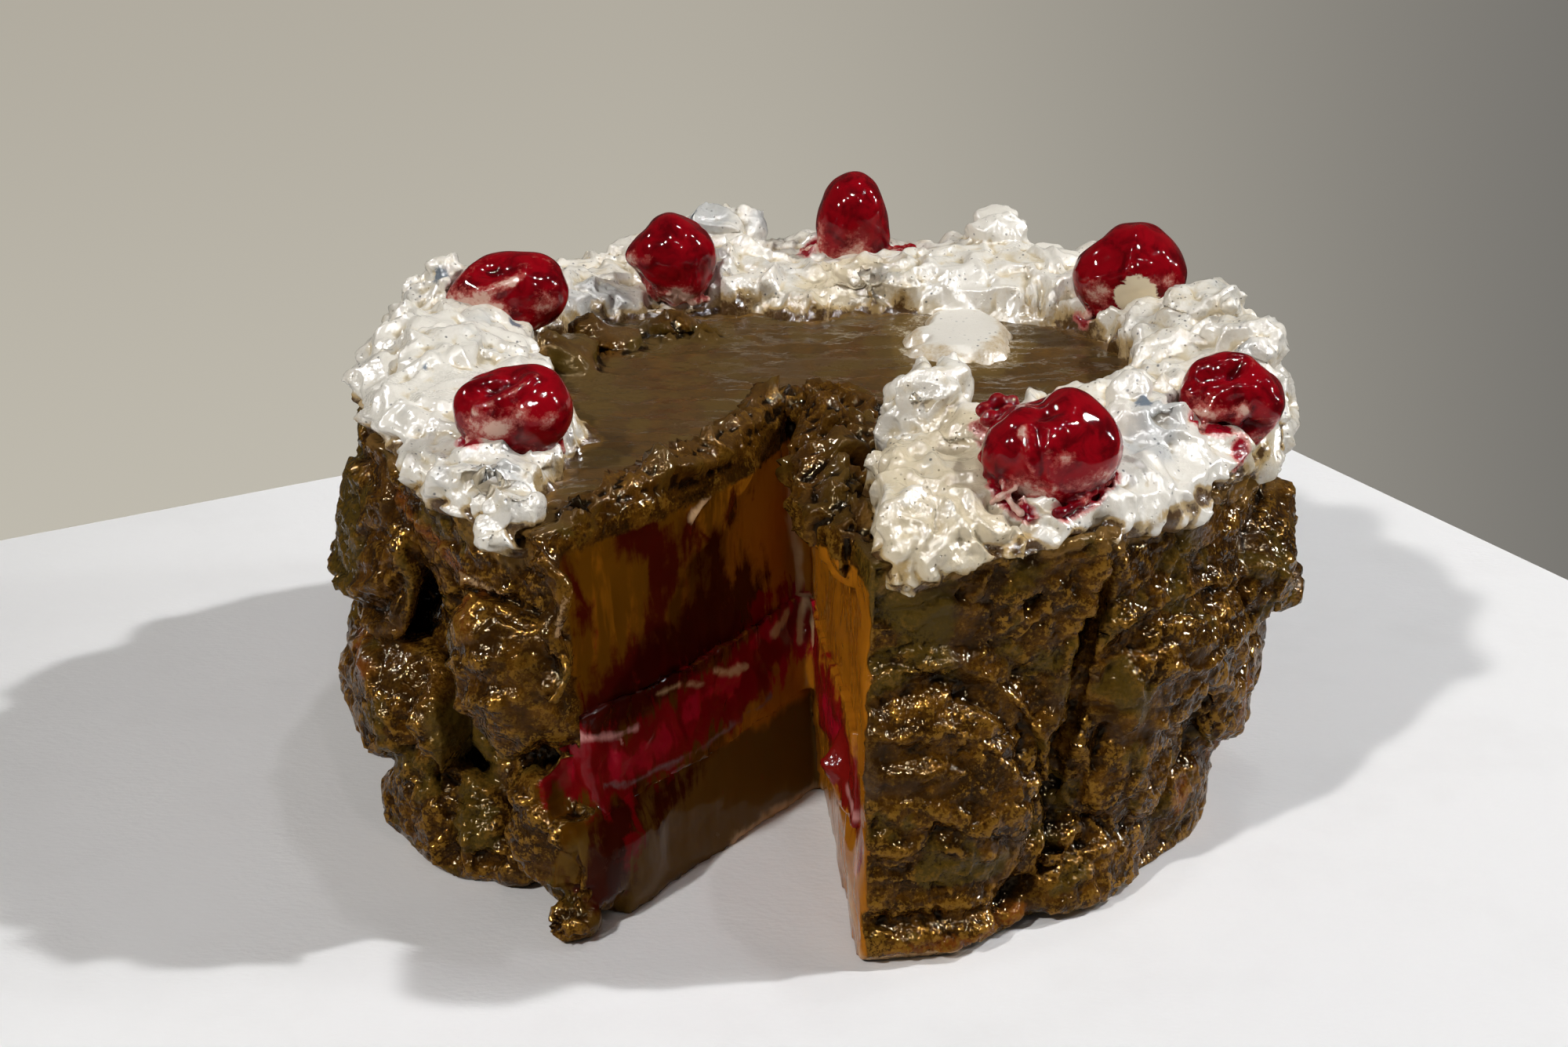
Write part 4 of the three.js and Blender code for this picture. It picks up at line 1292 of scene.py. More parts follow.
        olive = ease(patches, 0.0, 0.6) * 0.45 + patch(((-166, 66), (-161, 54)), 9.0)
        olive += patch(((-135, 56), (-134, 42)), 4.5) + patch(((-86, 76), (-79, 68)), 4.5)
        olive += patch(((-78, 17), (-70, 16)), 2.0) + 0.5 * patch(((-137, 34), (-135, 12)), 6.0)
        olive += 0.42 * ease(height, 78.5, 80.0) * ease(patches, -0.4, 0.3)
        olive *= 1 - 0.8 * np.maximum(at["chunk"], at["lip"])
        olive += 0.4 * hill(away_from_line(points[:, :2], ((3, -50), (5, -66))) / 6.0) * (height > 66)
        shell.note("olive", olive * (1 - wall))
        rust = 0.75 * patch(((-150, 74), (-138, 68), (-130, 62)), 3.4) + 0.8 * patch(((-170, 40), (-150, 38)), 3.0)
        rust += 0.8 * patch(((-82, 3), (-66, 4)), 2.4) + 0.5 * patch(((-38, 12), (-22, 34)), 5.5)
        rust += 0.3 * ease(Uneven.waves(points, 10.0, 22), 0.1, 0.6)
        shell.note("rust", rust * (1 - wall))
        pale = 0.6 * patch(((-134, 66), (-126, 66)), 1.3) + 0.6 * patch(((-118, 62), (-117, 70)), 1.0)
        pale += 0.8 * patch(((-92, 1), (-74, 1)), 1.5) + 0.3 * patch(((-64, 60), (-63, 46)), 1.0)
        shell.note("pale", pale * (1 - wall))
        cover = distance_to(cream, points)
        down = ease(height, 60.0, 68.0)
        shell.note("halo", (1.0 - ease(cover + 1.8 * patches, 0.2, 3.4)) * down * (1 - 0.6 * at["lip"]))
        tongue = CreamRing.across_tongue(points) + 0.18 * patches
        milk = 1.1 * (1.0 - ease(tongue, 0.95, 1.36))
        for strength, path, reach in ((0.35, ((8, 49), (26, 46)), 8.0), (0.3, ((50, 42), (62, 22)), 10.0)):
            milk += strength * hill(away_from_line(points[:, :2], path) / reach)
        shell.note("milk", milk * (height > 78.5))
        WallStains().note(shell, at["left"], at["right"])

    def build(self, cream: BVHTree) -> bpy.types.Object:
        """Makes the piece.

        Args:
            cream: the cream's surface.

        Returns:
            The dressed body.
        """
        piece = self.stock.copy("brown_body")
        shell = Shell(piece.data)
        shell.soften(self.stock.smooth)
        self.shape(shell)
        shell.store()
        shell = self.stock.thin_out(piece)
        self.paint(shell, cream)
        hand_over(piece, BrownGlaze().make(), "cake_body")
        return piece


# ------------------------------------------------------------------------------------ the layer


@dataclass
class RedLayer:
    """The cherry layer, seen as a torn red band on both cut walls."""

    stock: Stock = Stock("cherry_layer", 0.7, 90_000, 6)
    tear: float = 0.6  # height of its torn relief at the cut
    sink: float = 0.45  # how far it lies behind the cut
    middle: float = 33.5  # its height above the floor, at mid thickness
    swell: float = 2.0  # how much thicker it is at the cut than inside

    def build(self) -> bpy.types.Object:
        """Makes the piece.

        Returns:
            The dressed layer.
        """
        piece = self.stock.copy("red_layer")
        shell = Shell(piece.data)
        shell.soften(self.stock.smooth)
        left, right, showing = self.showing(shell)
        torn = Uneven.fractal(shell.points, 9.0, 3, 31) + 0.6 * Uneven.crests(shell.points, 6.0, 32) - 0.2
        shell.push(showing * (self.tear * torn - self.sink))
        above = shell.points[:, 2] - self.middle
        shell.points[:, 2] += self.swell * showing * ease(np.abs(above), 4.0, 8.0) * np.sign(above)
        run = LEFT_WALL.read(shell.points)[0]
        shell.points[:, :2] += (left * ease(run, 54.0, 66.0))[:, None] * np.array([-1.7, -2.0])
        shell.store()
        shell = self.stock.thin_out(piece)
        left, right, _ = self.showing(shell)
        shell.note("wall", np.ones(len(shell.points)))
        WallStains().note(shell, left, right)
        hand_over(piece, LayerGlaze().make(), "cherry_layer")
        return piece

    @staticmethod
    def showing(shell: Shell) -> tuple[Array, Array, Array]:
        """How much each point shows at the cut.

        Args:
            shell: the layer.

        Returns:
            Shares of 0 to 1 for the left wall, for the right wall and for either.
        """
        points = shell.points
        near = ease(-np.abs(LEFT_WALL.read(points)[1]), -9.0, -6.0)
        left = near * (points[:, 0] < RIGHT_WALL.foot[0][0] - 2.0) * ease(LEFT_WALL.read(points)[0], -6.0, -2.0)
        near = ease(-np.abs(RIGHT_WALL.read(points)[1]), -12.0, -8.0)
        right = near * (1 - left)
        return left, right, np.maximum(left, right)


# ------------------------------------------------------------------------------------ the cream


@dataclass
class CreamRing:
    """The smeared ring of white glazed cream."""

    stock: Stock = Stock("cream_ring", 0.55, 194_000, 10)
    fold: float = 1.5  # height of the folds
    edge: float = 1.7  # height of the sharp edges between them
    lump: float = 0.7  # height of the small lumps
    bead: float = 0.45  # height of the beads where the cream is bubbly
    stroke: float = 0.6  # height of the strokes left by the knife
    pit: float = 0.9  # depth of the pinholes
    sink_top: float = 3.4  # how deep the ragged edges go into the top
    sink_tongue: float = 3.2  # how deep the tongue's near edge goes into the top
    sink_side: float = 4.0  # how far the hem goes into the side
    tongue_middle: ClassVar[tuple[float, float]] = (34.0, 33.0)
    tongue_half: ClassVar[tuple[float, float]] = (13.5, 25.0)
    tongue_turn: ClassVar[float] = 10.0
    hem: Stops = (  # angle and height of the lower edge on the side
        (-92, 76), (-84, 73), (-80, 69), (-77, 74.5), (-70, 75), (-67, 73), (-62, 77), (-56, 76), (-48, 75), (-42, 73),
        (-38, 77), (-28, 73), (-18, 68), (-8, 67), (2, 70), (14, 73), (26, 70), (40, 74), (55, 69), (70, 73),
        (88, 70), (104, 74), (122, 70), (140, 73), (158, 76), (172, 79), (184, 80), (196, 82), (206, 81),
        (214, 79.5), (222, 77), (229, 74.5), (236, 74), (244, 75),
    )
    inner: Stops = (  # angle and radius of the inner edge on the top
        (-92, 97), (-86, 93), (-82, 76), (-78, 61), (-72, 51), (-62, 45), (-45, 45), (-30, 49), (-15, 60), (0, 67),
        (15, 71), (30, 72), (45, 66), (58, 58), (75, 53), (90, 46), (104, 54), (120, 57), (135, 64), (155, 66),
        (172, 57), (190, 53), (208, 53), (218, 56), (226, 67), (232, 83), (236, 93), (244, 97),
    )
    smears: tuple[tuple[float, float, float], ...] = (  # angle, half width in degrees, strength
        (-158.0, 20.0, 0.9),
        (-46.0, 14.0, 1.0),
        (55.0, 14.0, 0.8),
        (178.0, 10.0, 0.5),
    )
    dents: tuple[tuple[float, float, float, float, float], ...] = (  # x, y, z, radius and depth
        (-61, -75, 88, 5.0, 3.0),
        (-55, -71, 87, 3.5, 1.8),
        (21, -57, 95, 3.6, 2.6),
        (25, -66, 93, 3.0, 1.8),
        (11.5, -94, 82.5, 2.2, 4.0),
        (37, -88, 84.5, 2.6, 3.6),
        (32, -86, 86, 2.2, 2.0),
        (66.5, -57.5, 93.7, 2.6, 2.4),
        (11.7, 60, 86.6, 7.0, 2.4),
        (-78, -24, 93, 1.6, 1.4),
        (53, -84, 82, 2.0, 2.6),
    )
    reds: tuple[tuple[tuple[float, float, float], ...], ...] = (  # smears of red glaze
        ((45, -86, 85.5), (49, -83, 86.5), (54, -76, 88)),
        ((33, -82, 88), (36, -85, 86.5), (38, -87, 85.5)),
        ((-49, -47, 86), (-49, -52, 85)),
        ((-67, -55, 88), (-65, -62, 89)),
        ((-32, 49, 82), (-27, 49, 82), (-23, 51, 83)),
        ((-1, 78, 88), (3, 84, 88)),
        ((22, 80, 89), (26, 76, 89)),
        ((61, 37, 84), (62, 36, 84)),
        ((82, -51, 86), (82, -54, 83)),
        ((74, -52, 91), (79, -51, 88)),
        ((30, -63, 95), (32, -68, 93)),
    )
    blues: tuple[Spot, ...] = (  # x, y, z and radius of blue-grey spots
        (-82, 27, 97, 2.4),
        (-78, -24, 93, 1.4),
        (63, -53, 95.5, 2.2),
        (-28, 80, 97, 1.6),
        (-14, 84, 94, 1.6),
        (-4, 80, 90, 1.8),
        (-60, 12, 90, 2.0),
        (-64, 14, 90, 1.8),
        (46, 78, 95, 2.4),
        (90, -12, 93, 2.0),
        (84, 24, 95, 2.0),
    )
    # painted shade: grey spots on the cream just beyond the cherries' bases
    shade_spots: tuple[Spot, ...] = (  # where the glaze is shaded grey
        (-24, 82, 95, 7.0),
        (-14, 86, 92, 5.0),
        (-46, 48, 88, 6.0),
        (-72, 8, 91, 4.0),
        (-56, 4, 90, 4.0),
        (62, -62, 88, 5.0),
        (-58, -72, 88, 5.0),
        (66, -56, 93, 5.0),
    )
    beiges: tuple[Spot, ...] = (  # where the clay shows through
        (20, -76, 88, 12.0),
        (28, -62, 90, 6.0),
        (16, -92, 80, 9.0),
        (11.7, 60, 86.6, 9.0),
        (16, 51, 82.5, 8.0),
        (4, 50, 82, 6.0),
        (27, 50, 82, 4.0),
        (20, -94, 79, 7.0),
        (30, -92, 82, 6.0),
        (90, -46, 84, 7.0),
        (48, 62, 84, 8.0),
    )

    def smoothness(self, points: Array) -> Array:
        """How far the cream is spread smooth rather than lumpy.

        Args:
            points: the points, N x 3.

        Returns:
            A share of 0 to 1 for each point.
        """
        angle = angle_of(points)
        total = np.zeros(len(points))
        for middle, half, strength in self.smears:
            off = (angle - middle + 180.0) % 360.0 - 180.0
            total = np.maximum(total, strength * hill(off / half))
        return np.maximum(total, 1.6 * self.tongue(points)).clip(0.0, 1.0)

    @classmethod
    def across_tongue(cls, points: Array) -> Array:
        """How far points are from the middle of the flat tongue that reaches in over the top.

        Args:
            points: the points, N x 3.

        Returns:
            The distance in plan, 1 being the tongue's edge.
        """
        turn = math.radians(cls.tongue_turn)
        x, y = (points[:, axis] - cls.tongue_middle[axis] for axis in (0, 1))
        along = x * math.cos(turn) - y * math.sin(turn)
        across = x * math.sin(turn) + y * math.cos(turn)
        return np.hypot(along / cls.tongue_half[0], across / cls.tongue_half[1])

    def tongue(self, points: Array) -> Array:
        """Weight of the flat tongue."""
        return hill(self.across_tongue(points) / 1.7) * (points[:, 2] < 86)

    def inland(self, points: Array) -> Array:
        """How far each point lies inside the cream's edges, on the side or on the top.

        Args:
            points: the points, N x 3.

        Returns:
            The distance from the nearer edge, negative beyond it.
        """
        angle = angle_of(points, -116.0)
        hem = points[:, 2] - np.interp(angle, *zip(*self.hem))
        rim = radius_of(points) - np.interp(angle, *zip(*self.inner))
        on_top = (radius_of(points) < 88.0) & (points[:, 2] < 90.0)
        flat = self.across_tongue(points) < 1.1
        rim = np.where(flat, 3.5, np.maximum(rim, 0.8 * (points[:, 2] - 82.0)))
        return np.where(on_top, rim, hem)

    def shape(self, shell: Shell) -> None:
        """Whips lumps, folds, strokes and pinholes into the plain ring.

        Args:
            shell: the ring.
        """
        points, normals = shell.points, shell.normals
        under = ease(-normals[:, 2], 0.2, 0.7)
        smear, flat = self.smoothness(points), 1 - 0.9 * np.clip(2 * self.tongue(points), 0, 1)
        warp = np.stack([Uneven.waves(points, 9.0, seed) for seed in (41, 42, 43)], 1)
        folds = Uneven.billows(points + 5.0 * warp, 13.0, 44) * 2.3 - 0.7
        lumps = Uneven.billows(points + 1.5 * warp, 6.0, 45) * 1.6 - 0.4
        beads = Uneven.billows(points, 2.6, 46) * 1.4 - 0.3
        edges = Uneven.crests(points + 4.0 * warp, 10.0, 47) ** 2
        strokes = Uneven.fractal(points + 3.0 * warp, (4.5, 12.0, 4.5), 2, 48)
        bubbly = ease(Uneven.waves(points, 22.0, 40), 0.0, 0.45) * (1 - smear)
        amount = (1 - 0.5 * smear) * (self.fold * folds + self.edge * edges)
        amount += (0.15 + 0.85 * bubbly) * (1 - smear) * self.lump * lumps
        amount += bubbly * self.bead * beads + self.stroke * strokes - 0.3
        ragged = 2.6 * Uneven.fractal(points, 8.0, 3, 49)
        shell.push(amount * flat * (1 - under))
        shell.soften(5, 0.48, 1 - 0.7 * bubbly)
        self.tuck(shell, 1 - ease(self.inland(points) + ragged, 0.0, 5.5))
        points = shell.points
        near, _, value = Uneven.chips(points, 5.0, 50)
        pits = (value > 0.35) * hill(near / 0.17)
        amount = self.pit * pits * (1 - under) * (1 - 0.6 * smear)
        for *centre, radius, depth in self.dents:
            amount += depth * hill(np.linalg.norm(points - np.array(centre), axis=1) / (1.7 * radius))
        shell.push(-amount)

    def tuck(self, shell: Shell, edge: Array) -> None:
        """Sinks the ragged edges into the body, so that the cream comes out of it without a step.

        Args:
            shell: the cream.
            edge: how near each point is to an edge, from 0 to 1.
        """
        points = shell.points
        radius = radius_of(points)
        tongue = (self.across_tongue(points) < 1.4) & (points[:, 1] < 52.0) & (points[:, 2] < 85.5)
        spread = self.across_tongue(points) + 0.28 * Uneven.fractal(points, 12.0, 3, 52)
        level = (radius < 88.0) & (points[:, 2] < 86.0) & ~tongue
        side = (radius >= 88.0) & (points[:, 2] < 86.0)
        points[:, 2] -= self.sink_top * edge * level + self.sink_tongue * tongue * ease(spread, 0.55, 0.95)
        points[:, :2] *= 1 - (self.sink_side * edge * side / radius)[:, None]

    def paint(self, shell: Shell, clay: BVHTree) -> None:
        """Notes where the glaze is thin, smooth, shaded or stained red.

        Args:
            shell: the shaped cream.
            clay: the body's surface, over which it runs thin.
        """
        points = shell.points
        cover = distance_to(clay, points)
        waver = 1.0 * Uneven.fractal(points, 5.0, 2, 51)
        hem = 1.0 - ease(self.inland(points) + 1.6 * waver, 0.0, 5.0)
        gauge = 1.0 - ease(cover + waver, 0.8, 2.6)
        flat = ease(-self.across_tongue(points), -1.15, -1.0) * (points[:, 2] < 85.0)
        fading = ease(self.across_tongue(points) + 0.10 * waver, 0.40, 0.85) * (points[:, 1] < 46.0)
        thin = np.maximum(hem, gauge) * (1 - flat) + 0.85 * flat * fading
        near = (self.across_tongue(points) < 1.6) & (points[:, 1] < 50.0) & (points[:, 2] < 86.0)
        shell.note("thin", np.where(near, np.minimum(thin, 0.5), thin))
        shell.note("smear", self.smoothness(points))
        # deep: how hollow each place is, which the finish paints as shade
        shell.note("deep", ease(shell.hollowness(8), 0.08, 0.7))
        stained = [hill(away_from_line(points, path) / 3.6) for path in self.reds]
        shell.note("red", np.max(stained, axis=0))
        shell.note("blue", spots(points, self.blues))
        shell.note("beige", spots(points, self.beiges))
        # grey: the painted shade beside the cherries
        shell.note("grey", spots(points, self.shade_spots))

    def build(self, clay: BVHTree) -> bpy.types.Object:
        """Makes the piece.

        Args:
            clay: the body's surface, against which the thin edges are read.

        Returns:
            The dressed ring.
        """
        piece = self.stock.copy("cream")
        shell = Shell(piece.data)
        shell.soften(self.stock.smooth)
        self.shape(shell)
        shell.store()
        shell = self.stock.thin_out(piece)
        self.paint(shell, clay)
        hand_over(piece, CreamGlaze().make(), "cream_ring")
        return piece


# ------------------------------------------------------------------------------------ the cherries


def turned_away(aims: Array, toward: Direction) -> Array:
    """Angle in radians between each direction and the given one."""
    return np.arccos(np.clip(aims @ (np.array(toward) / np.linalg.norm(toward)), -1.0, 1.0))


@dataclass(frozen=True)
class Cherry:
    """One cherry of dented, glazed clay.

    Attributes:
        name: the node of the frame that it stands for.
        at: centre.
        size: half sizes.
        dents: each as direction, depth (a bulge where negative) and spread.
        creases: each as the directions it runs through, its width and its depth (a ridge where negative).
        worn: directions where the glaze is rubbed pale, each with its spread.
        bare: directions where the clay is bare, each with its spread.
        drips: runs of clay that hang from it, each as its path and its radius at the start.
        wet: spots where the red lies thick, each as x, y, z and radius.
    """

    name: str
    at: tuple[float, float, float]
    size: tuple[float, float, float]
    dents: tuple[tuple[Direction, float, float], ...]
    creases: tuple[tuple[tuple[Direction, ...], float, float], ...] = ()
    worn: tuple[tuple[Direction, float], ...] = ()
    bare: tuple[tuple[Direction, float], ...] = ()
    drips: tuple[tuple[tuple[Direction, ...], float], ...] = ()
    wet: tuple[Spot, ...] = ()
    lumps: ClassVar[tuple[float, float, float]] = (0.45, 0.2, 0.9)  # height of broad, of small and of torn low ones

    def directions(self, points: Array) -> Array:
        """Directions of points from the centre, with the size taken out."""
        away = (points - np.array(self.at)) / np.array(self.size)
        return away / np.maximum(1e-9, np.linalg.norm(away, axis=1))[:, None]

    def shape(self, shell: Shell) -> None:
        """Presses the dents, creases and lumps into a round ball.

        Args:
            shell: the ball, round the origin.
        """
        aims = shell.points / np.linalg.norm(shell.points, axis=1)[:, None]
        middle = np.array(self.at)
        half = np.array(self.size)
        depth = np.zeros(len(aims))
        for toward, deep, spread in self.dents:
            depth += deep * np.exp(-((turned_away(aims, toward) / spread) ** 2))
        place = aims * half + middle
        waver = 0.05 * Uneven.waves(place, 3.0, 61)
        for path, width, deep in self.creases:
            stops = [np.array(stop) / np.linalg.norm(stop) for stop in path]
            away = (away_from_line(aims, stops) + waver) / width
            depth += deep * (np.exp(-(away**2)) - 0.45 * np.exp(-((away - 1.8) ** 2)))
        broad, small, torn = self.lumps
        rough = broad * Uneven.waves(place, 9.0, 62) + small * Uneven.waves(place, 4.0, 63)
        low = ease(-aims[:, 2], 0.45, 0.95)
        rough = rough + low * (torn * Uneven.crests(place, 4.5, 64) + 0.5)
        shell.points = middle + aims * half * (1.0 + (rough - depth) / half.max())[:, None]

    def paint(self, shell: Shell) -> None:
        """Notes where the glaze is worn, gathered or missing, and how hollow each place is for the painted shade.

        Args:
            shell: the shaped cherry.
        """
        points = shell.points
        aims = self.directions(points)
        hollow = shell.hollowness(8)
        worn = 0.30 * ease(-hollow, 0.02, 0.14) + 0.42 * ease(-aims[:, 2], 0.25, 0.8)
        for toward, spread in self.worn:
            worn += 0.62 * np.exp(-((turned_away(aims, toward) / spread) ** 2))
        bare = np.zeros(len(points))
        for toward, spread in self.bare:
            bare = np.maximum(bare, hill(turned_away(aims, toward) / (1.7 * spread)))
        if self.drips:
            worn += 0.15 * spots(points, self.beads())
        worn *= 1 - spots(points, self.wet)
        shell.note("worn", worn)
        # deep: how hollow each place is, which the finish paints as shade
        shell.note("deep", ease(hollow, 0.02, 0.22))
        shell.note("bare", bare)

    def build(self, finish: bpy.types.Material) -> bpy.types.Object:
        """Makes the piece.

        Args:
            finish: the glaze that all cherries share.

        Returns:
            The dressed cherry.
        """
        work = bmesh.new()
        bmesh.ops.create_icosphere(work, subdivisions=6, radius=MM)
        mesh = bpy.data.meshes.new(self.name)
        work.to_mesh(mesh)
        work.free()
        piece = bpy.data.objects.new(self.name.replace("cherry", "red_cherry"), mesh)
        bpy.context.scene.collection.objects.link(piece)
        shell = Shell(mesh)
        self.shape(shell)
        shell.store()
        if self.drips:
            self.hang_drips(piece)
        self.paint(Shell(piece.data))
        hand_over(piece, finish, self.name)
        return piece

    def beads(self) -> list[Spot]:
        """Cuts the drips into rows of round beads.

        Returns:
            The beads, each as x, y, z and radius.
        """
        row = []
        for path, radius in self.drips:
            stops = [np.array(stop, float) for stop in path]
            for start, end in zip(stops[:-1], stops[1:]):
                count = max(2, int(np.linalg.norm(end - start) / (0.5 * radius)))
                for n in range(count):
                    row.append((*(start + (end - start) * n / count), radius * (0.8 + 0.2 * math.cos(2.1 * n))))
            row.append((*stops[-1], radius * 0.9))
        return row

    def hang_drips(self, piece: bpy.types.Object) -> None:
        """Fuses the drips with the cherry.

        Args:
            piece: the shaped cherry.
        """
        work = bmesh.new()
        work.from_mesh(piece.data)
        for x, y, z, radius in self.beads():
            bead = bmesh.ops.create_icosphere(work, subdivisions=2, radius=radius * MM)["verts"]
            bmesh.ops.translate(work, verts=bead, vec=Vector((x, y, z)) * MM)
        work.to_mesh(piece.data)
        work.free()
        remesh = piece.modifiers.new("fuse", "REMESH")
        remesh.mode = "VOXEL"
        remesh.voxel_size = DRIP_GRAIN * MM
        settle(piece)
        drop_scraps(piece.data)
        shell = Shell(piece.data)
        shell.soften(8, 0.50)
        near = spots(shell.points, self.beads())
        shell.push(near * (0.7 * Uneven.fractal(shell.points, 3.0, 2, 67) - 0.2))
        shell.soften(10, 0.40, near)
        shell.store()


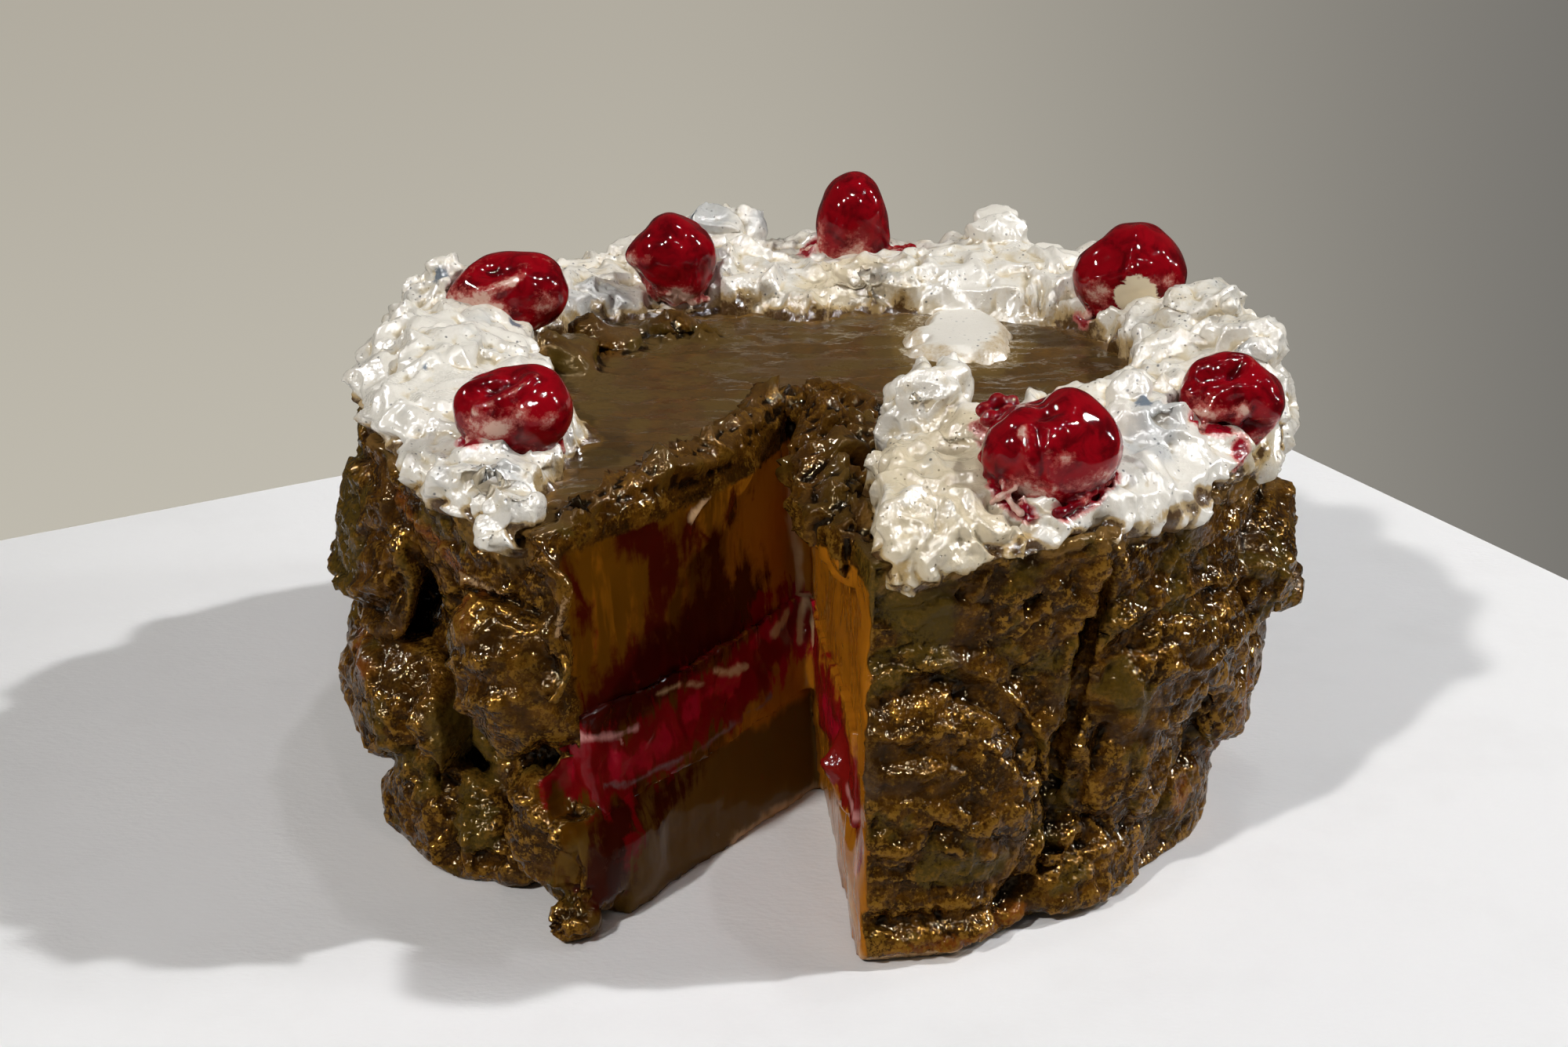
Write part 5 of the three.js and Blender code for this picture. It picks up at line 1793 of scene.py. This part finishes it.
CHERRIES = (
    Cherry(
        "cherry_front_left",
        (-57.8, -52.0, 92.6),
        (11.4, 9.6, 9.2),
        (
            ((-0.42, -0.46, 0.78), 4.4, 0.27),
            ((-0.05, -0.38, 0.92), 3.0, 0.22),
            ((-0.45, 0.15, 0.90), 1.6, 0.36),
            ((-0.85, -0.20, 0.45), -1.0, 0.40),
            ((-0.05, -0.05, 1.0), 2.0, 0.30),
            ((0.60, 0.1, 0.8), -1.2, 0.42),
            ((0.25, -0.9, -0.5), 0.9, 0.3),
        ),
        ((((-0.55, -0.85, 0.35), (0.05, -0.75, 0.65), (0.35, -0.35, 0.9)), 0.14, -0.8),),
        (
            ((-0.62, -0.85, -0.15), 0.52),
            ((-0.15, -0.95, 0.0), 0.26),
            ((0.2, -0.9, 0.3), 0.22),
            ((0.6, -0.75, 0.1), 0.2),
        ),
        (),
        (
            (((-49.6, -52.0, 89.5), (-48.9, -53.0, 86.6), (-48.6, -54.2, 85.2)), 0.9),
            (((-66.0, -57.0, 90.0), (-65.6, -60.0, 88.0)), 0.9),
        ),
    ),
    Cherry(
        "cherry_back_left",
        (-66.8, 26.0, 93.4),
        (13.4, 10.3, 8.8),
        (
            ((-0.24, -0.52, 0.80), 3.8, 0.32),
            ((-0.85, 0.25, 0.60), 1.8, 0.45),
            ((0.60, 0.1, 0.8), -1.3, 0.40),
            ((-0.9, -0.5, -0.2), -1.5, 0.4),
            ((0.3, -1.0, -0.1), 1.0, 0.3),
        ),
        ((((-0.35, -0.9, 0.3), (0.15, -0.85, 0.5), (0.35, -0.5, 0.8)), 0.14, -0.5),),
        (
            ((-0.75, -0.8, -0.05), 0.50),
            ((-0.25, -0.95, -0.1), 0.40),
            ((0.1, -0.8, 0.55), 0.18),
            ((0.7, -0.75, -0.1), 0.25),
        ),
        (),
        (),
    ),
    Cherry(
        "cherry_left_of_back",
        (-32.0, 56.0, 92.8),
        (10.6, 10.2, 10.4),
        (
            ((0.45, 0.1, 0.95), 0.8, 0.35),
            ((-0.85, -0.4, -0.65), 3.6, 0.50),
            ((-0.95, -0.25, 0.10), -0.7, 0.35),
            ((-0.75, 0.1, 0.75), 1.6, 0.40),
            ((0.5, -0.8, -0.6), -1.6, 0.35),
            ((0.1, -0.9, 0.1), -0.5, 0.3),
        ),
        ((((-0.9, -0.3, -0.3), (-0.5, -0.8, -0.35), (0.1, -0.9, -0.4)), 0.10, -0.3),),
        (((-0.9, -0.5, 0.05), 0.30), ((-0.5, -0.9, 0.2), 0.15), ((0.2, -0.85, -0.6), 0.3)),
        (),
        ((((-32.0, 48.0, 87.0), (-27.0, 48.5, 84.5), (-23.5, 50.5, 84.5)), 1.2),),
    ),
    Cherry(
        "cherry_back",
        (11.0, 84.0, 95.0),
        (8.8, 9.2, 11.0),
        (
            ((-0.75, -0.5, -0.55), -2.2, 0.4),
            ((0.8, -0.4, -0.5), -2.0, 0.4),
            ((0.95, 0.0, 0.55), 1.1, 0.45),
            ((-0.95, 0.0, 0.45), 1.0, 0.45),
            ((0.15, -1.0, -0.35), 0.9, 0.25),
        ),
        (),
        (((0.05, -1.0, -0.55), 0.42), ((-0.85, -0.5, -0.25), 0.32)),
        (),
        (
            (((4.0, 79.0, 88.5), (0.5, 80.0, 88.2), (-1.0, 81.0, 87.5)), 1.2),
            (((18.5, 79.0, 88.5), (22.0, 78.5, 89.3), (25.5, 76.5, 89.6)), 0.9),
        ),
    ),
    Cherry(
        "cherry_back_right",
        (72.3, 41.0, 93.2),
        (12.8, 11.3, 11.4),
        (
            ((-0.45, -0.70, 0.55), 1.2, 0.40),
            ((-0.75, 0.3, 0.75), 2.0, 0.45),
            ((0.40, 0.3, 0.9), -1.1, 0.35),
            ((0.85, -0.4, 0.3), -0.9, 0.4),
            ((0.05, -0.95, -0.35), 1.4, 0.35),
        ),
        ((((0.15, -0.1, 1.0), (-0.05, -0.6, 0.8), (-0.12, -0.9, 0.35), (-0.7, -0.7, 0.1)), 0.14, -0.4),),
        (
            ((-0.7, -0.7, -0.25), 0.28),
            ((-0.5, -0.85, -0.1), 0.15),
            ((0.55, -0.8, 0.12), 0.18),
            ((0.75, -0.55, -0.25), 0.30),
            ((0.25, -0.9, 0.1), 0.16),
        ),
        (((0.05, -0.97, -0.20), 0.46),),
        ((((63.5, 37.5, 87.0), (63.0, 36.5, 84.5)), 1.0),),
    ),
    Cherry(
        "cherry_right",
        (82.0, -41.0, 91.4),
        (10.4, 9.6, 9.2),
        (
            ((-0.10, -0.48, 0.87), 3.2, 0.26),
            ((-0.62, -0.15, 0.80), -1.2, 0.30),
            ((-0.62, -0.72, 0.35), 1.4, 0.24),
            ((0.62, -0.75, 0.15), -2.0, 0.40),
            ((0.05, -0.85, 0.35), 0.8, 0.26),
            ((-0.55, -0.85, -0.05), -0.9, 0.30),
            ((-0.30, -0.9, -0.45), 2.4, 0.26),
            ((0.25, -0.9, -0.40), 2.4, 0.22),
            ((0.60, 0.1, 0.8), 1.6, 0.32),
        ),
        (
            (((-0.95, -0.3, 0.25), (-0.5, -0.8, 0.35), (0.0, -0.85, 0.5), (0.5, -0.6, 0.6)), 0.14, -0.5),
            (((-0.55, -0.5, 0.6), (-0.2, -0.6, 0.75), (0.1, -0.3, 0.95)), 0.13, 0.7),
            (((0.3, -0.95, 0.1), (0.25, -0.9, -0.2), (0.5, -0.8, -0.35)), 0.12, 0.8),
        ),
        (((-0.6, -0.8, 0.0), 0.40), ((0.05, -0.95, 0.1), 0.22), ((0.75, -0.65, -0.3), 0.22)),
        (),
        (
            (((81.0, -48.5, 87.5), (82.2, -51.5, 85.0), (82.4, -53.0, 82.4)), 1.1),
            (((72.5, -43.5, 90.0), (75.5, -49.0, 88.2), (78.5, -50.0, 86.8)), 1.3),
        ),
    ),
    Cherry(
        "cherry_front_right",
        (43.3, -75.0, 93.2),
        (12.6, 11.2, 11.4),
        (
            ((-0.18, -0.45, 0.88), 2.8, 0.30),
            ((-0.22, 0.05, 1.0), 3.2, 0.28),
            ((-0.24, 0.50, 0.85), 3.0, 0.30),
            ((-0.75, 0.15, 0.70), 1.8, 0.34),
            ((0.38, 0.15, 0.95), -0.8, 0.45),
            ((0.80, -0.5, 0.2), -0.8, 0.4),
            ((-0.95, -0.4, -0.1), -0.8, 0.35),
            ((-0.30, -0.9, -0.6), 1.4, 0.25),
        ),
        (
            (((-0.30, -0.75, 0.6), (-0.26, -0.92, 0.30), (-0.22, -0.97, 0.0), (-0.25, -0.92, -0.35)), 0.09, 0.55),
            (((-0.50, -0.65, 0.6), (-0.44, -0.85, 0.3), (-0.36, -0.93, 0.0)), 0.08, -0.35),
            (((0.0, -0.6, 0.8), (0.25, -0.85, 0.45), (0.3, -0.95, 0.15)), 0.12, -0.3),
        ),
        (
            ((0.35, -0.82, -0.45), 0.42),
            ((-0.45, -0.8, -0.35), 0.34),
            ((-0.46, -0.68, 0.5), 0.15),
            ((0.1, -0.95, 0.2), 0.14),
            ((0.7, -0.7, -0.2), 0.2),
        ),
        (),
        (
            (((34.0, -81.0, 90.5), (34.5, -84.0, 87.5), (36.8, -86.6, 85.2)), 0.9),
            (((36.0, -84.0, 89.0), (33.0, -84.5, 87.2), (31.6, -84.0, 86.0)), 0.8),
            (((31.0, -75.5, 92.0), (31.8, -78.5, 90.0), (33.0, -81.0, 88.0)), 1.3),
            (((50.5, -82.0, 87.5), (46.0, -85.5, 85.6), (43.5, -86.5, 85.2)), 1.2),
            (((52.0, -80.0, 87.5), (55.0, -75.5, 88.6)), 1.2),
            (((31.8, -63.5, 96.8), (34.5, -62.0, 98.2), (36.8, -62.6, 98.0)), 1.9),
            (((32.5, -66.5, 96.2), (36.0, -65.8, 97.0), (37.5, -67.5, 96.0)), 2.0),
        ),
        ((50.5, -82.0, 87.5, 3.0), (46.0, -85.5, 85.6, 3.0), (43.5, -86.5, 85.2, 2.4)),
    ),
)


# ------------------------------------------------------------------------------------ the studio


@dataclass(frozen=True)
class Lamp:
    """A round lamp aimed at the cake.

    Attributes:
        name: what it is for.
        azimuth: where it stands round the cake.
        elevation: how high it stands.
        glow: how brightly it lights a white floor under the cake, 1 being full white.
        width_m: its diameter.
        colour: tint of its light.
        glint: whether it is seen in the glazes alone and lights nothing else.
    """

    name: str
    azimuth: float
    elevation: float
    glow: float
    width_m: float = 0.12
    colour: Colour = (1.0, 1.0, 1.0)
    glint: bool = False

    def build(self, distance_m: float = 3.5) -> None:
        """Puts the lamp in the scene.

        Args:
            distance_m: how far it stands from the cake.
        """
        turn, rise = math.radians(self.azimuth), math.radians(self.elevation)
        toward = Vector((math.cos(turn) * math.cos(rise), math.sin(turn) * math.cos(rise), math.sin(rise)))
        light = bpy.data.lights.new(self.name, "AREA")
        light.shape = "DISK"
        light.size = self.width_m
        light.energy = self.glow * math.pi**2 * distance_m**2 / math.sin(rise)
        light.color = self.colour
        lamp = bpy.data.objects.new(self.name, light)
        lamp.location = toward * distance_m
        lamp.rotation_euler = toward.to_track_quat("Z", "Y").to_euler()
        lamp.visible_diffuse = not self.glint
        bpy.context.scene.collection.objects.link(lamp)


@dataclass
class Studio:
    """The pale stand, the room's soft light, the lamps and the camera."""

    lamps: tuple[Lamp, ...] = (
        Lamp("key from the right", 9.0, 46.0, 0.43, 0.13, (0.98, 0.99, 1.0)),
        Lamp("low from the right", 4.0, 30.0, 0.08, 0.30, (0.98, 0.99, 1.0)),
        Lamp("high from behind", 38.0, 76.0, 0.07, 0.16, (0.98, 0.99, 1.0)),
        Lamp("front left", -130.0, 43.5, 0.365, 0.17, (1.0, 0.985, 0.96)),
        Lamp("front glint", -72.0, 58.0, 0.025, 0.12),
        *(
            Lamp(f"spot {azimuth} {elevation}", azimuth, elevation, 0.7, 0.055, glint=True)
            for azimuth, elevation in ((-119, 54), (-152, 30), (-62, 46), (6, 22), (-20, 62), (160, 46), (-100, 72))
        ),
    )
    wall: Colour = (0.43, 0.40, 0.34)
    wall_low: Colour = (0.53, 0.50, 0.43)
    wall_far: Colour = (0.15, 0.145, 0.135)
    ceiling: Colour = (0.065, 0.065, 0.065)
    mirrored: Colour = (0.06, 0.056, 0.05)  # the dark side of the room, which the glazes mirror
    eye_m: tuple[float, float, float] = (-0.0058, -0.508236, 0.250951)
    pitch: float = 68.3
    lens: float = 57.6
    gap_m: float = 0.0002  # how far the stand lies below the cake
    thick_m: float = 0.05  # its thickness
    stand_m: Stops = ((-0.005, 0.2348), (0.1075, 0.2465), (1.1, -1.6), (-1.7, -0.77))

    def stand(self) -> None:
        """Makes the stand's flat top."""
        work = bmesh.new()
        corners = [work.verts.new((x, y, -self.gap_m)) for x, y in self.stand_m]
        face = work.faces.new(corners)
        grown = bmesh.ops.extrude_face_region(work, geom=[face])["geom"]
        lower = [part for part in grown if isinstance(part, bmesh.types.BMVert)]
        bmesh.ops.translate(work, verts=lower, vec=(0, 0, -self.thick_m))
        bmesh.ops.recalc_face_normals(work, faces=work.faces)
        mesh = bpy.data.meshes.new("stand")
        work.to_mesh(mesh)
        work.free()
        mesh.materials.append(PaleStand().make())
        floor = bpy.data.objects.new("stand", mesh)
        bpy.context.scene.collection.objects.link(floor)

    def room(self) -> None:
        """Lights the room: a warm grey wall behind the cake, and dim elsewhere."""
        world = bpy.data.worlds.new("room")
        world.use_nodes = True
        bpy.context.scene.world = world
        r = Nodes(world.node_tree)
        aim = r.node("ShaderNodeTexCoord", output="Generated")
        x, y, z = (r.node("ShaderNodeSeparateXYZ", {}, {0: aim}, axis) for axis in "XYZ")
        wall = r.mix(z.step(-0.42, -0.10), self.wall_low, self.wall)
        wall = r.mix(x.step(-0.08, 0.40), wall, self.wall_far)
        front = r.mix(y.step(-0.1, 0.35), self.ceiling, wall)
        both = r.mix(z.step(0.45, 0.75), front, self.ceiling)
        both = r.mix(r.node("ShaderNodeLightPath", output="Is Glossy Ray"), both, self.mirrored)
        glow = r.node("ShaderNodeBackground", {}, {"Color": both, "Strength": 1.0})
        r.node("ShaderNodeOutputWorld", {}, {"Surface": glow}, None)

    def camera(self) -> None:
        """Puts the camera in front of the open side, looking down at the cake."""
        view = bpy.data.cameras.new("camera")
        view.lens = self.lens
        view.sensor_width = 36.0
        camera = bpy.data.objects.new("camera", view)
        camera.location = self.eye_m
        camera.rotation_euler = (math.radians(self.pitch), 0.0, 0.0)
        bpy.context.scene.collection.objects.link(camera)
        bpy.context.scene.camera = camera

    def build(self) -> None:
        """Makes everything round the cake."""
        bpy.context.scene.view_settings.view_transform = "Standard"
        self.stand()
        self.room()
        for lamp in self.lamps:
            lamp.build()
        self.camera()


# ------------------------------------------------------------------------------------ the cake


def surface(node: str) -> BVHTree:
    """The surface of a node as the frame has it, for reading distances from it.

    Args:
        node: name of the node.

    Returns:
        The surface, in metres.
    """
    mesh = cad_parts[node].data
    corners = [vertex.co[:] for vertex in mesh.vertices]
    return BVHTree.FromPolygons(corners, [tuple(face.vertices) for face in mesh.polygons])


def main() -> None:
    """Builds the cake's pieces in order, then the studio round them."""
    logging.basicConfig(level=logging.INFO, format="%(name)s %(message)s")
    CakeBody().build(surface("cream_ring"))
    RedLayer().build()
    CreamRing().build(surface("cake_body"))
    crimson = CherryGlaze().make()
    for cherry in CHERRIES:
        cherry.build(crimson)
    Studio().build()


if __name__ == "__main__":
    main()
